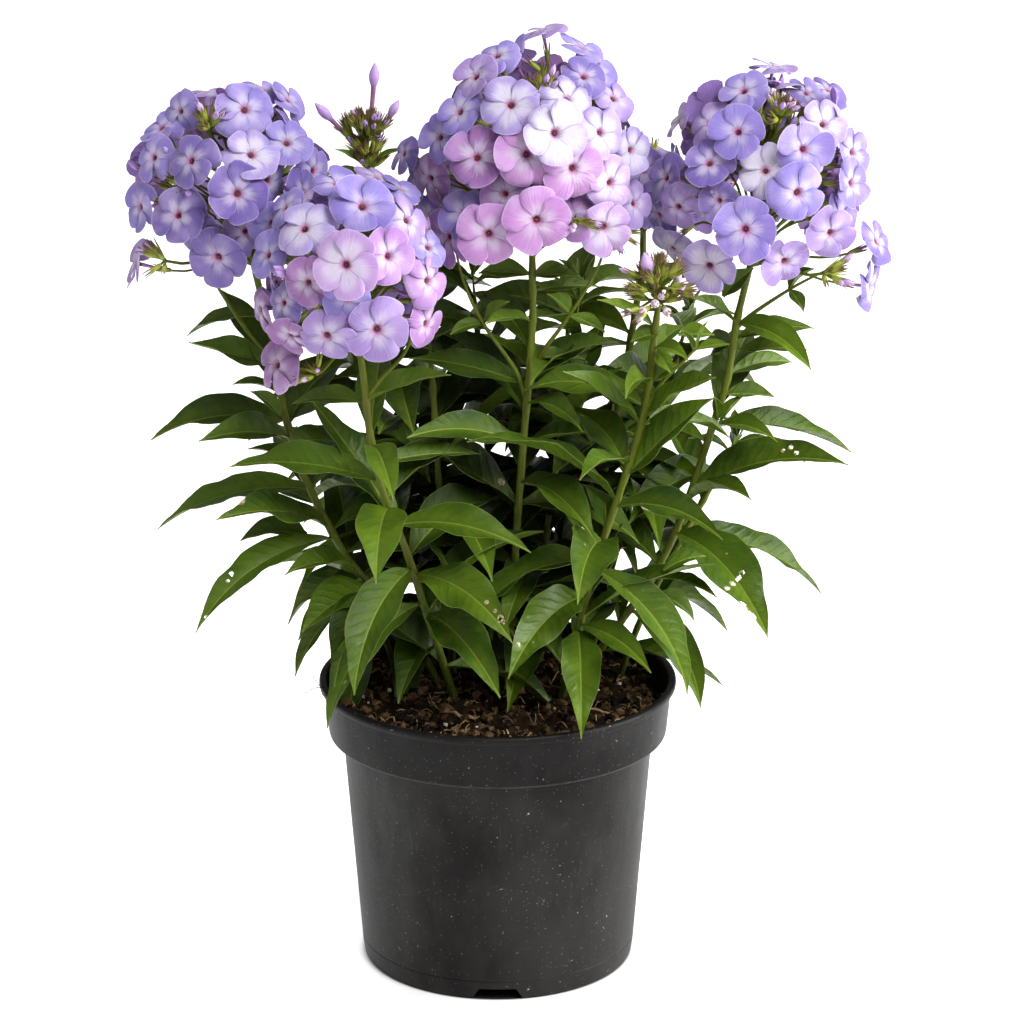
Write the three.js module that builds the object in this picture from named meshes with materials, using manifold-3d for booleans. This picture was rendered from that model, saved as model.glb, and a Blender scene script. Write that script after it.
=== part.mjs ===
// A flowering border phlox in a round nursery pot.
// Millimetres, +Z up. The origin is the middle of the pot's foot, on the surface that the pot stands on.
// -Y is the plant's front. Azimuths are degrees in the XY plane: 0 is +X, 90 is +Y.

import * as THREE from 'three';
import { mergeVertices } from 'three/addons/utils/BufferGeometryUtils.js';
import Module from 'manifold-3d';

const wasm = await Module();
wasm.setup();

// ---------------------------------------------------------------- driving dimensions

const SEAT_GAP = 0.3; // between two pieces that touch

const POT = {
  height: 156,
  rimRadius: 95,
  lipHeight: 4, // the rolled lip at the top of the collar
  collarBottom: 126,
  collarTopRadius: 92.5,
  collarBottomRadius: 90,
  shoulderRadius: 82.7, // the body where the collar starts
  footRadius: 72.6,
  footWidth: 3.6,
  floorBottom: 8,
  wall: 1.6,
  sides: 40,
};

const NOTCH = { count: 4, bottomWidth: 29, topWidth: 19, height: 6.5, depth: 12 };
const DRAIN_HOLE = { radius: 6, ringRadius: 52, sides: 12 };

const SOIL = { edgeHeight: 145, moundHeight: 149, moundRadius: 50 };

const STEM = { radius: 2.6, sides: 7, steps: 16, socketShare: 0.2 };

const LEAF = {
  thickness: 0.8,
  stalkWidth: 2.4,
  tipWidth: 0.9,
  fold: 0.28, // rise of the blade's edge per millimetre of half width
  segments: 6,
};

const FLORET = { radius: 15, thickness: 0.9, tubeRadius: 1.5, tubeSides: 4, lobeTurn: 0.36 };
const RACHIS = { radius: 2.4, sides: 6 };

// How a head's florets spread: the dome's share of a full ball's height, how far up its middle the main
// stalk reaches, and how far below each face its own stalk starts, level and per millimetre of spread.
const DOME = {
  coverage: 1.42,
  rachisReach: 0.72,
  stalkDrop: 10,
  stalkSlope: 0.35,
  lowest: 0.06,
  highest: 0.97,
};
const BUD = { radius: 2.7, length: 15, sides: 5, stalkRadius: 0.9 };

// Each stem's axis, from its root in the compost to its top.
const STEM_AXES = {
  center: [[3, 2, 128], [4, 0, 158], [8, -6, 200], [10, -10, 240], [14, -14, 296], [18, -15, 350],
    [18, -14, 386]],
  front_left: [[-18, -12, 128], [-26, -22, 162], [-38, -40, 209], [-47, -50, 243], [-57, -56, 272],
    [-64, -60, 305], [-67, -62, 335], [-69, -61, 352]],
  left: [[-24, 12, 128], [-37, 8, 159], [-54, -5, 194], [-76, -10, 221], [-90, -8, 245], [-102, -5, 272],
    [-110, -5, 300], [-117, 0, 340], [-125, 0, 378]],
  bud_right: [[28, -14, 128], [36, -22, 160], [49, -38, 225], [60, -42, 262], [69, -45, 292], [76, -45, 321],
    [81, -45, 366]],
  right: [[40, 14, 128], [51, 12, 159], [66, 8, 184], [81, 5, 208], [96, 5, 240], [113, 5, 294],
    [120, 5, 319], [124, 5, 348], [130, 5, 376]],
  bud_left: [[-10, 36, 128], [-15, 40, 160], [-34, 45, 228], [-52, 45, 295], [-62, 45, 372], [-67, 45, 418]],
  back_right: [[20, 40, 128], [25, 45, 160], [50, 50, 226], [65, 55, 292], [76, 58, 360], [77, 59, 380]],
};

// Each leaf leaves its stem at a height, rises at an angle and then droops along its length.
const LEAVES = [
  { stem: 'left', height: 353, azimuth: 160, rise: 2, droop: 40, length: 48, width: 8 },
  { stem: 'left', height: 335, azimuth: 220, rise: 32, droop: 50, length: 52, width: 12 },
  { stem: 'left', height: 299, azimuth: 174, rise: 19, droop: 60, length: 78, width: 16 },
  { stem: 'left', height: 289, azimuth: 217, rise: 30, droop: 40, length: 56, width: 12 },
  { stem: 'left', height: 262, azimuth: 168, rise: 6, droop: 50, length: 92, width: 18 },
  { stem: 'left', height: 241, azimuth: 226, rise: 38, droop: 40, length: 76, width: 20 },
  { stem: 'left', height: 236, azimuth: 205, rise: 2, droop: 60, length: 92, width: 16 },
  { stem: 'left', height: 206, azimuth: 252, rise: 8, droop: 66, length: 76, width: 24 },
  { stem: 'left', height: 218, azimuth: 234, rise: 33, droop: 40, length: 62, width: 14 },
  { stem: 'front_left', height: 282, azimuth: 164, rise: 16, droop: 30, length: 80, width: 16 },
  { stem: 'front_left', height: 272, azimuth: 264, rise: 14, droop: 66, length: 66, width: 25 },
  { stem: 'front_left', height: 326, azimuth: 327, rise: 33, droop: 20, length: 56, width: 11 },
  { stem: 'front_left', height: 292, azimuth: 28, rise: 6, droop: 20, length: 60, width: 9 },
  { stem: 'front_left', height: 257, azimuth: 335, rise: 25, droop: 50, length: 78, width: 18 },
  { stem: 'front_left', height: 228, azimuth: 318, rise: 20, droop: 52, length: 84, width: 24 },
  { stem: 'front_left', height: 204, azimuth: 288, rise: 9, droop: 50, length: 80, width: 24 },
  { stem: 'front_left', height: 211, azimuth: 228, rise: 0, droop: 60, length: 84, width: 21 },
  { stem: 'center', height: 321, azimuth: 164, rise: 18, droop: 20, length: 64, width: 12 },
  { stem: 'center', height: 288, azimuth: 211, rise: 32, droop: 40, length: 72, width: 17 },
  { stem: 'center', height: 267, azimuth: 290, rise: 18, droop: 60, length: 70, width: 20 },
  { stem: 'center', height: 334, azimuth: 41, rise: 3, droop: 30, length: 40, width: 8 },
  { stem: 'center', height: 250, azimuth: 110, rise: 30, droop: 70, length: 80, width: 20 },
  { stem: 'bud_right', height: 288, azimuth: 243, rise: 27, droop: 40, length: 60, width: 13 },
  { stem: 'bud_right', height: 245, azimuth: 256, rise: 18, droop: 60, length: 68, width: 22 },
  { stem: 'bud_right', height: 213, azimuth: 236, rise: 9, droop: 56, length: 78, width: 23 },
  { stem: 'bud_right', height: 192, azimuth: 271, rise: 6, droop: 60, length: 72, width: 21 },
  { stem: 'bud_right', height: 263, azimuth: 318, rise: 24, droop: 50, length: 74, width: 15 },
  { stem: 'bud_right', height: 311, azimuth: 315, rise: 45, droop: 24, length: 60, width: 20 },
  { stem: 'bud_right', height: 309, azimuth: 213, rise: 46, droop: 20, length: 60, width: 13 },
  { stem: 'bud_right', height: 330, azimuth: 249, rise: 34, droop: 60, length: 40, width: 11 },
  { stem: 'right', height: 234, azimuth: 306, rise: 4, droop: 60, length: 88, width: 25 },
  { stem: 'right', height: 232, azimuth: 14, rise: 0, droop: 50, length: 92, width: 14 },
  { stem: 'right', height: 254, azimuth: 340, rise: 42, droop: 50, length: 92, width: 18 },
  { stem: 'right', height: 293, azimuth: 4, rise: 7, droop: 40, length: 76, width: 12 },
  { stem: 'right', height: 348, azimuth: 323, rise: 9, droop: 60, length: 50, width: 15 },
  { stem: 'right', height: 190, azimuth: 352, rise: 24, droop: 116, length: 84, width: 16 },
  { stem: 'right', height: 208, azimuth: 303, rise: 22, droop: 30, length: 60, width: 8 },
  { stem: 'bud_left', height: 300, azimuth: 120, rise: 24, droop: 70, length: 88, width: 20 },
  { stem: 'bud_left', height: 236, azimuth: 150, rise: 14, droop: 60, length: 86, width: 22 },
  { stem: 'bud_left', height: 345, azimuth: 60, rise: 30, droop: 60, length: 70, width: 16 },
  { stem: 'back_right', height: 240, azimuth: 95, rise: 18, droop: 66, length: 71, width: 22 },
  { stem: 'back_right', height: 300, azimuth: 60, rise: 26, droop: 66, length: 76, width: 19 },
  { stem: 'back_right', height: 328, azimuth: 150, rise: 30, droop: 60, length: 66, width: 15 },
];

// Each flower head is a dome of florets on a branched stalk. The outliers stand further out than the dome.
const HEADS = {
  center: {
    stem: 'center', middle: [18, -10, 436], radii: [50, 48, 64], florets: 22, firstTurn: 0,
    outliers: [],
  },
  left: {
    stem: 'left', middle: [-137, 0, 421], radii: [45, 45, 49], florets: 18, firstTurn: 0,
    outliers: [{ azimuth: 184, elevation: -8, reach: 62 }],
  },
  front_left: {
    stem: 'front_left', middle: [-74, -59, 390], radii: [44, 44, 49], florets: 17, firstTurn: 60,
    outliers: [],
  },
  right: {
    stem: 'right', middle: [136, 5, 421], radii: [51, 48, 54], florets: 20, firstTurn: 0,
    outliers: [{ azimuth: 4, elevation: -14, reach: 64 }],
  },
  back_right: {
    stem: 'back_right', middle: [78, 60, 405], radii: [25, 25, 25], florets: 8, firstTurn: 210,
    outliers: [],
  },
};

// Each bud cluster has a short main stalk, and its buds lean further out from the top one to the lowest.
const BUD_CLUSTERS = {
  left: { stem: 'bud_left', buds: 13, axisLength: 15, budStalk: 13, steepest: 78, spread: 62 },
  right: { stem: 'bud_right', buds: 14, axisLength: 14, budStalk: 10, steepest: 78, spread: 70 },
};

const COLOURS = {
  pot: { color: 0x1f2022, roughness: 0.5, metalness: 0 },
  soil: { color: 0x2e221a, roughness: 0.95, metalness: 0 },
  stem: { color: 0x75833c, roughness: 0.6, metalness: 0 },
  leaf: { color: 0x3f6a2b, roughness: 0.5, metalness: 0 },
  petal: { color: 0xc3a8d8, roughness: 0.7, metalness: 0 },
  bud: { color: 0x8c6a9a, roughness: 0.7, metalness: 0 },
};

const GOLDEN_ANGLE = Math.PI * (3 - Math.sqrt(5));
const UP = new THREE.Vector3(0, 0, 1);

// ---------------------------------------------------------------- helpers

const radians = THREE.MathUtils.degToRad;

function direction(azimuth, elevation) {
  const a = radians(azimuth);
  const e = radians(elevation);
  return new THREE.Vector3(Math.cos(e) * Math.cos(a), Math.cos(e) * Math.sin(a), Math.sin(e));
}

function toSolid(geometry) {
  const bare = geometry.clone();
  bare.deleteAttribute('normal');
  bare.deleteAttribute('uv');
  const merged = mergeVertices(bare, 1e-4);
  return new wasm.Manifold(new wasm.Mesh({
    numProp: 3,
    vertProperties: new Float32Array(merged.attributes.position.array),
    triVerts: new Uint32Array(merged.index.array),
  }));
}

function toGeometry(solid) {
  const mesh = solid.getMesh();
  const geometry = new THREE.BufferGeometry();
  geometry.setAttribute('position', new THREE.BufferAttribute(mesh.vertProperties, 3));
  geometry.setIndex(new THREE.BufferAttribute(mesh.triVerts, 1));
  geometry.computeVertexNormals();
  return geometry;
}

function union(solids) {
  return solids.reduce((whole, solid) => whole.add(solid));
}

// A profile of [radius, height] pairs, turned about +Z. It runs from the axis, round the outside, and back.
function turned(profile, sides) {
  const points = profile.map(([radius, height]) => new THREE.Vector2(radius, height));
  return new THREE.LatheGeometry(points, sides).rotateX(Math.PI / 2);
}

function ringShape(radius, sides) {
  const corners = Array.from({ length: sides }, (_, i) => {
    const angle = (2 * Math.PI * i) / sides;
    return new THREE.Vector2(radius * Math.cos(angle), radius * Math.sin(angle));
  });
  return new THREE.Shape(corners);
}

function tube(curve, radius, sides, steps) {
  return new THREE.ExtrudeGeometry(ringShape(radius, sides), { steps, extrudePath: curve });
}

// A straight rod from one point to another.
function rod(from, to, startRadius, endRadius, sides) {
  const span = to.clone().sub(from);
  const geometry = new THREE.CylinderGeometry(endRadius, startRadius, span.length(), sides);
  geometry.rotateX(Math.PI / 2);
  geometry.applyQuaternion(new THREE.Quaternion().setFromUnitVectors(UP, span.clone().normalize()));
  const middle = from.clone().add(to).multiplyScalar(0.5);
  return geometry.translate(middle.x, middle.y, middle.z);
}

function facing(geometry, place, normal) {
  geometry.applyQuaternion(new THREE.Quaternion().setFromUnitVectors(UP, normal));
  return geometry.translate(place.x, place.y, place.z);
}

// ---------------------------------------------------------------- pot and compost

function potGeometry() {
  const p = POT;
  const lipBottom = p.height - p.lipHeight;
  const floorTop = p.floorBottom + p.wall;
  const bodySlope = (p.shoulderRadius - p.footRadius) / p.collarBottom;
  const bodyRadius = (height) => p.footRadius + bodySlope * height;
  const shoulderTop = p.collarBottom + p.wall;
  const wall = turned([
    [0, p.floorBottom],
    [p.footRadius - p.footWidth, p.floorBottom],
    [p.footRadius - p.footWidth, 0],
    [p.footRadius, 0],
    [p.shoulderRadius, p.collarBottom],
    [p.collarBottomRadius, p.collarBottom],
    [p.collarTopRadius, lipBottom],
    [p.rimRadius, lipBottom],
    [p.rimRadius, p.height],
    [p.collarTopRadius - p.wall, p.height],
    [p.collarBottomRadius - p.wall, shoulderTop],
    [p.shoulderRadius - p.wall, shoulderTop],
    [bodyRadius(floorTop) - p.wall, floorTop],
    [0, floorTop],
  ], p.sides);
  return toGeometry(cutDrainage(toSolid(wall)));
}

function cutDrainage(pot) {
  const outline = new THREE.Shape([
    new THREE.Vector2(-NOTCH.bottomWidth / 2, -1),
    new THREE.Vector2(NOTCH.bottomWidth / 2, -1),
    new THREE.Vector2(NOTCH.bottomWidth / 2, 0),
    new THREE.Vector2(NOTCH.topWidth / 2, NOTCH.height),
    new THREE.Vector2(-NOTCH.topWidth / 2, NOTCH.height),
    new THREE.Vector2(-NOTCH.bottomWidth / 2, 0),
  ]);
  let result = pot;
  for (let i = 0; i < NOTCH.count; i += 1) {
    const turn = (2 * Math.PI * i) / NOTCH.count;
    const notch = new THREE.ExtrudeGeometry(outline, { depth: NOTCH.depth, bevelEnabled: false });
    notch.rotateX(Math.PI / 2);
    notch.translate(0, -POT.footRadius + NOTCH.depth - 2, 0).rotateZ(turn);
    const { radius, sides } = DRAIN_HOLE;
    const hole = new THREE.CylinderGeometry(radius, radius, 4 * POT.wall, sides);
    hole.rotateX(Math.PI / 2);
    hole.translate(0, -DRAIN_HOLE.ringRadius, POT.floorBottom + POT.wall / 2).rotateZ(turn);
    result = result.subtract(toSolid(notch)).subtract(toSolid(hole));
  }
  return result;
}

// The compost fills the pot up to a low mound, with a socket for each stem.
function soilGeometry() {
  const p = POT;
  const inset = p.wall + SEAT_GAP;
  const bodySlope = (p.shoulderRadius - p.footRadius) / p.collarBottom;
  const floorTop = p.floorBottom + p.wall + SEAT_GAP;
  const shoulderTop = p.collarBottom + p.wall + SEAT_GAP;
  const collarSlope = (p.collarTopRadius - p.collarBottomRadius) / (p.height - p.collarBottom);
  const collarRadius = (height) => p.collarBottomRadius + collarSlope * (height - shoulderTop) - inset;
  let plug = toSolid(turned([
    [0, floorTop],
    [p.footRadius + bodySlope * floorTop - inset - 0.2, floorTop],
    [p.shoulderRadius - inset - 0.2, shoulderTop],
    [collarRadius(shoulderTop), shoulderTop],
    [collarRadius(SOIL.edgeHeight), SOIL.edgeHeight],
    [SOIL.moundRadius, SOIL.moundHeight],
    [0, SOIL.moundHeight],
  ], p.sides));
  for (const curve of Object.values(stemCurves)) {
    plug = plug.subtract(toSolid(tube(socketCurve(curve), STEM.radius + SEAT_GAP, STEM.sides, 4)));
  }
  return toGeometry(plug);
}

// The lowest stretch of a stem, lengthened a little past its root end.
function socketCurve(curve) {
  const root = curve.getPointAt(0);
  const back = curve.getTangentAt(0).multiplyScalar(-SEAT_GAP);
  const stretch = [root.clone().add(back)];
  for (let share = 0.02; share < STEM.socketShare; share += 0.02) {
    stretch.push(curve.getPointAt(share));
  }
  return new THREE.CatmullRomCurve3(stretch);
}

// ---------------------------------------------------------------- stems and leaves

const stemCurves = Object.fromEntries(
  Object.entries(STEM_AXES).map(([name, points]) => [
    name,
    new THREE.CatmullRomCurve3(points.map(([x, y, z]) => new THREE.Vector3(x, y, z))),
  ]),
);

// The share of a rising curve's length at which it reaches a height.
function shareAtHeight(curve, height) {
  let low = 0;
  let high = 1;
  for (let i = 0; i < 30; i += 1) {
    const middle = (low + high) / 2;
    if (curve.getPointAt(middle).z < height) low = middle;
    else high = middle;
  }
  return low;
}

function stemGeometry(curve) {
  return tube(curve, STEM.radius, STEM.sides, STEM.steps);
}

// Half the blade's width at a share of its length: a short stalk, widest before the middle, a long point.
function halfWidth(leaf, share) {
  const belly = Math.sin(Math.PI * share ** 0.8);
  const ends = THREE.MathUtils.lerp(LEAF.stalkWidth, LEAF.tipWidth, share);
  return (Math.max(ends, leaf.width * belly)) / 2;
}

// How far along its own direction a leaf starts from its stem's axis, so that all four corners of its end
// face stay a gap away from the stem, whichever way the stem leans.
function seatDistance(start, across, tangent) {
  const outward = start.clone().addScaledVector(tangent, -start.dot(tangent));
  const lean = outward.length();
  outward.normalize();
  const normal = start.clone().cross(across);
  const sideways = (Math.abs(across.dot(outward)) * LEAF.stalkWidth) / 2;
  const upright = (Math.abs(normal.dot(outward)) * LEAF.thickness) / 2;
  return (STEM.radius + SEAT_GAP + sideways + upright) / lean;
}

function leafGeometry(leaf) {
  const curve = stemCurves[leaf.stem];
  const share = shareAtHeight(curve, leaf.height);
  const tangent = curve.getTangentAt(share);
  const across = direction(leaf.azimuth + 90, 0);
  const start = direction(leaf.azimuth, leaf.rise);
  const midrib = [curve.getPointAt(share).addScaledVector(start, seatDistance(start, across, tangent))];
  const normals = [];
  const stepLength = leaf.length / LEAF.segments;
  for (let i = 0; i <= LEAF.segments; i += 1) {
    const slope = leaf.rise - (leaf.droop * i) / LEAF.segments;
    normals.push(direction(leaf.azimuth, slope + 90));
    const nextSlope = slope - leaf.droop / LEAF.segments / 2;
    midrib.push(midrib[i].clone().addScaledVector(direction(leaf.azimuth, nextSlope), stepLength));
  }
  const geometry = new THREE.BoxGeometry(LEAF.segments, 2, LEAF.thickness, LEAF.segments, 2, 1);
  const position = geometry.attributes.position;
  for (let v = 0; v < position.count; v += 1) {
    const step = Math.round(position.getX(v) + LEAF.segments / 2);
    const side = Math.round(position.getY(v));
    const reach = side * halfWidth(leaf, step / LEAF.segments);
    const place = midrib[step].clone();
    place.addScaledVector(across, reach);
    place.addScaledVector(normals[step], position.getZ(v) + LEAF.fold * Math.abs(reach));
    position.setXYZ(v, place.x, place.y, place.z);
  }
  return geometry;
}

// ---------------------------------------------------------------- flowers and buds

// A five-lobed corolla, face up, its middle at the origin.
function corollaGeometry() {
  const lobes = 5;
  const corners = [];
  for (let i = 0; i < lobes; i += 1) {
    const middle = (2 * Math.PI * i) / lobes;
    for (const turn of [-FLORET.lobeTurn, FLORET.lobeTurn]) {
      const angle = middle + turn;
      corners.push(new THREE.Vector2(FLORET.radius * Math.cos(angle), FLORET.radius * Math.sin(angle)));
    }
  }
  const outline = new THREE.Shape(corners);
  return new THREE.ExtrudeGeometry(outline, { depth: FLORET.thickness, bevelEnabled: false });
}

// One floret on its stalk, from a point inside the head's main stalk out to its face.
function floretSolid(root, face) {
  const normal = face.clone().sub(root).normalize();
  const stalk = rod(root, face, RACHIS.radius / 2, FLORET.tubeRadius, FLORET.tubeSides);
  const seat = face.clone().addScaledVector(normal, -FLORET.thickness / 2);
  return toSolid(facing(corollaGeometry(), seat, normal)).add(toSolid(stalk));
}

function headGeometry(head) {
  const top = stemCurves[head.stem].getPointAt(1);
  const tangent = stemCurves[head.stem].getTangentAt(1);
  const middle = new THREE.Vector3(...head.middle);
  const [rx, ry, rz] = head.radii;
  const tip = middle.clone().addScaledVector(UP, DOME.rachisReach * rz);
  const tilt = tangent.angleTo(tip.clone().sub(top));
  const foot = top.clone().addScaledVector(tangent, SEAT_GAP + STEM.radius * Math.sin(tilt));
  const axisAt = (height) => {
    const share = THREE.MathUtils.clamp((height - foot.z) / (tip.z - foot.z), DOME.lowest, DOME.highest);
    return foot.clone().lerp(tip, share);
  };
  const faces = [];
  for (let i = 0; i < head.florets; i += 1) {
    const height = 1 - (DOME.coverage * (i + 0.5)) / head.florets;
    const ring = Math.sqrt(1 - height * height);
    const turn = radians(head.firstTurn) + i * GOLDEN_ANGLE;
    const offset = new THREE.Vector3(rx * ring * Math.cos(turn), ry * ring * Math.sin(turn), rz * height);
    faces.push(middle.clone().add(offset));
  }
  for (const { azimuth, elevation, reach } of head.outliers) {
    faces.push(middle.clone().addScaledVector(direction(azimuth, elevation), reach));
  }
  const florets = faces.map((face) => {
    const spread = Math.hypot(face.x - middle.x, face.y - middle.y);
    return floretSolid(axisAt(face.z - DOME.stalkDrop - DOME.stalkSlope * spread), face);
  });
  const rachis = toSolid(rod(foot, tip, RACHIS.radius, RACHIS.radius / 2, RACHIS.sides));
  return toGeometry(union([rachis, ...florets]));
}

// A pointed bud on its stalk.
function budSolid(root, azimuth, elevation, stalk) {
  const axis = direction(azimuth, elevation);
  const neck = root.clone().addScaledVector(axis, stalk);
  const bud = turned([
    [0, -2],
    [BUD.radius, BUD.length * 0.55],
    [0, BUD.length],
  ], BUD.sides);
  const stalkRod = rod(root, neck, BUD.stalkRadius, BUD.stalkRadius, FLORET.tubeSides);
  return toSolid(facing(bud, neck, axis)).add(toSolid(stalkRod));
}

function budClusterGeometry(cluster) {
  const curve = stemCurves[cluster.stem];
  const tangent = curve.getTangentAt(1);
  const foot = curve.getPointAt(1).addScaledVector(tangent, SEAT_GAP);
  const tip = foot.clone().addScaledVector(tangent, cluster.axisLength);
  const buds = [];
  for (let i = 0; i < cluster.buds; i += 1) {
    const share = (i + 0.5) / cluster.buds;
    const root = foot.clone().lerp(tip, 0.95 - 0.75 * share);
    const azimuth = THREE.MathUtils.radToDeg(i * GOLDEN_ANGLE);
    buds.push(budSolid(root, azimuth, cluster.steepest - share * cluster.spread, cluster.budStalk));
  }
  const axis = toSolid(rod(foot, tip, RACHIS.radius, RACHIS.radius * 0.6, RACHIS.sides));
  return toGeometry(union([axis, ...buds]));
}

// ---------------------------------------------------------------- assembly

const plant = new THREE.Group();

function addPiece(name, geometry, colour) {
  const mesh = new THREE.Mesh(geometry, new THREE.MeshStandardMaterial(colour));
  mesh.name = name;
  plant.add(mesh);
}

addPiece('pot', potGeometry(), COLOURS.pot);
addPiece('compost', soilGeometry(), COLOURS.soil);
for (const [name, curve] of Object.entries(stemCurves)) {
  addPiece(`stem_${name}`, stemGeometry(curve), COLOURS.stem);
}
for (const [name, head] of Object.entries(HEADS)) {
  addPiece(`flower_head_${name}`, headGeometry(head), COLOURS.petal);
}
for (const [name, cluster] of Object.entries(BUD_CLUSTERS)) {
  addPiece(`bud_cluster_${name}`, budClusterGeometry(cluster), COLOURS.bud);
}
const leavesOnStem = {};
for (const leaf of LEAVES) {
  leavesOnStem[leaf.stem] = (leavesOnStem[leaf.stem] ?? 0) + 1;
  const number = String(leavesOnStem[leaf.stem]).padStart(2, '0');
  addPiece(`leaf_${leaf.stem}_${number}`, leafGeometry(leaf), COLOURS.leaf);
}

export default plant;
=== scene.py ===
import math
import random
from collections import namedtuple

import bpy
import numpy as np
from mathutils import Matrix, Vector


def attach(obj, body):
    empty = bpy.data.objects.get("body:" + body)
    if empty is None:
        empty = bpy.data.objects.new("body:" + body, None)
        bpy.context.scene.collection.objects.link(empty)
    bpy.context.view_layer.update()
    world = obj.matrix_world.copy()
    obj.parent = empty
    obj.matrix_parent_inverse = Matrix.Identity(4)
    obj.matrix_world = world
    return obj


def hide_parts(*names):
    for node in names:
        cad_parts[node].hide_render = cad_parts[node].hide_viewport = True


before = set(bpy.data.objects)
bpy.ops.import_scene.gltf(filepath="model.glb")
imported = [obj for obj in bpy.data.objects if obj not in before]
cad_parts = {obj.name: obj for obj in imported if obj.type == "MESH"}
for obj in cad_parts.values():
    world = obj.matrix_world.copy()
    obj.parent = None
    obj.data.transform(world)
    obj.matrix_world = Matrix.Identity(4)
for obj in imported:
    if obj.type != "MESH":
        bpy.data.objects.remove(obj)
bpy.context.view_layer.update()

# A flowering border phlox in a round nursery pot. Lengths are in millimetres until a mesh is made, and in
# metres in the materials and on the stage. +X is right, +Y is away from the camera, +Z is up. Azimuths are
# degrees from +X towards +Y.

MM = 0.001
UP = np.array([0.0, 0.0, 1.0])
FULL_TURN = 2 * math.pi
GOLDEN_ANGLE = math.pi * (3 - math.sqrt(5))
random_source = random.Random(7)
noise_source = np.random.default_rng(11)

# ------------------------------------------------------------------ camera

CAMERA_PLACE = np.array([7.6, -2103.0, 926.0])
CAMERA_PITCH = 17.89  # degrees below level
CAMERA_LENS = 147.8
SENSOR = 36.0

# ------------------------------------------------------------------ sizes shared with the CAD model

POT_HEIGHT = 156.0
RIM_RADIUS = 95.0
LIP_HEIGHT = 4.0
COLLAR_BOTTOM = 126.0
COLLAR_TOP_RADIUS = 92.5
COLLAR_BOTTOM_RADIUS = 90.0
SHOULDER_RADIUS = 82.7
FOOT_RADIUS = 72.6
FOOT_WIDTH = 3.6
FLOOR_BOTTOM = 8.0
POT_WALL = 1.6
POT_SLOPE = (SHOULDER_RADIUS - FOOT_RADIUS) / COLLAR_BOTTOM
POT_SIDES = 240
NOTCHES = 4
NOTCH_BOTTOM_WIDTH = 29.0
NOTCH_TOP_WIDTH = 19.0
NOTCH_HEIGHT = 6.5
HOLE_RADIUS = 6.0
HOLE_DISTANCE = 52.0

SOIL_EDGE = 145.0
SOIL_RADIUS = 89.0
SOIL_MOUND = 149.0
MOUND_RADIUS = 50.0

STEM_RADIUS = 1.95
STEM_POINTS = 70
STEM_AXES = {
    "center": [(3, 2, 128), (4, 0, 158), (8, -6, 200), (10, -10, 240), (14, -14, 296), (18, -15, 350),
               (18, -14, 386)],
    "front_left": [(-18, -12, 128), (-26, -22, 162), (-38, -40, 209), (-47, -50, 243), (-57, -56, 272),
                   (-64, -60, 305), (-67, -62, 335), (-69, -61, 352)],
    "left": [(-24, 12, 128), (-37, 8, 159), (-54, -5, 194), (-76, -10, 221), (-90, -8, 245),
             (-102, -5, 272), (-110, -5, 300), (-117, 0, 340), (-125, 0, 378)],
    "bud_right": [(28, -14, 128), (36, -22, 160), (49, -38, 225), (60, -42, 262), (69, -45, 292),
                  (76, -45, 321), (81, -45, 366)],
    "right": [(40, 14, 128), (51, 12, 159), (66, 8, 184), (81, 5, 208), (96, 5, 240), (113, 5, 294),
              (120, 5, 319), (124, 5, 348), (130, 5, 376)],
    "bud_left": [(-10, 36, 128), (-15, 40, 160), (-34, 45, 228), (-52, 45, 295), (-62, 45, 372),
                 (-67, 45, 418)],
    "back_right": [(20, 40, 128), (25, 45, 160), (50, 50, 226), (65, 55, 292), (76, 58, 360),
                   (77, 59, 380)],
}

# ------------------------------------------------------------------ leaves, branches and blooms, by place

# A leaf's row is its height on the stem, azimuth, rise and droop in degrees, length and width. The CAD model
# has a node for each main leaf, numbered from 1 in its stem's rows. Only the visual model has the further
# leaves.
Leaf = namedtuple("Leaf", "stem node height azimuth rise droop length width")
MAIN_LEAVES = [
    ("left", [(353, 160, 2, 40, 48, 8), (328, 200, 18, -4, 48, 16), (299, 174, 12, 44, 73, 18),
              (289, 217, 26, 36, 56, 17), (262, 168, 2, 42, 90, 15), (241, 222, 36, 42, 76, 24),
              (236, 205, 2, 60, 92, 13), (206, 252, 8, 66, 76, 22), (218, 234, 33, 40, 62, 14)]),
    ("front_left", [(282, 164, 16, 30, 80, 16), (267, 264, 14, 66, 66, 25), (326, 327, 33, 20, 56, 11),
                    (292, 28, 6, 20, 60, 9), (257, 335, 19, 46, 76, 18), (228, 310, 15, 54, 82, 24),
                    (204, 299, 8, 50, 80, 24), (211, 212, -12, 68, 86, 16)]),
    ("center", [(321, 164, 18, 20, 64, 12), (288, 211, 32, 40, 72, 17), (267, 303, 18, 60, 72, 20),
                (334, 41, 3, 30, 40, 8), (250, 110, 30, 70, 80, 20)]),
    ("bud_right", [(288, 243, 27, 40, 60, 13), (245, 256, 18, 60, 68, 26), (213, 236, 9, 56, 78, 23),
                   (192, 271, 2, 56, 80, 21), (263, 318, 24, 50, 74, 15), (311, 315, 45, 24, 60, 20),
                   (309, 213, 46, 20, 60, 13), (330, 249, 34, 60, 40, 11)]),
    ("right", [(234, 306, 4, 60, 88, 29), (232, 14, 0, 50, 92, 14), (254, 340, 42, 50, 92, 18),
               (293, 4, 7, 40, 76, 12), (348, 323, 9, 60, 50, 15), (190, 330, -10, 76, 68, 16),
               (208, 303, 22, 30, 60, 8)]),
    ("bud_left", [(300, 120, 24, 70, 88, 20), (236, 150, 14, 60, 86, 22), (345, 60, 30, 60, 70, 16)]),
    ("back_right", [(240, 95, 18, 66, 71, 22), (300, 60, 26, 66, 76, 19), (328, 150, 30, 60, 66, 15)]),
]
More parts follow.
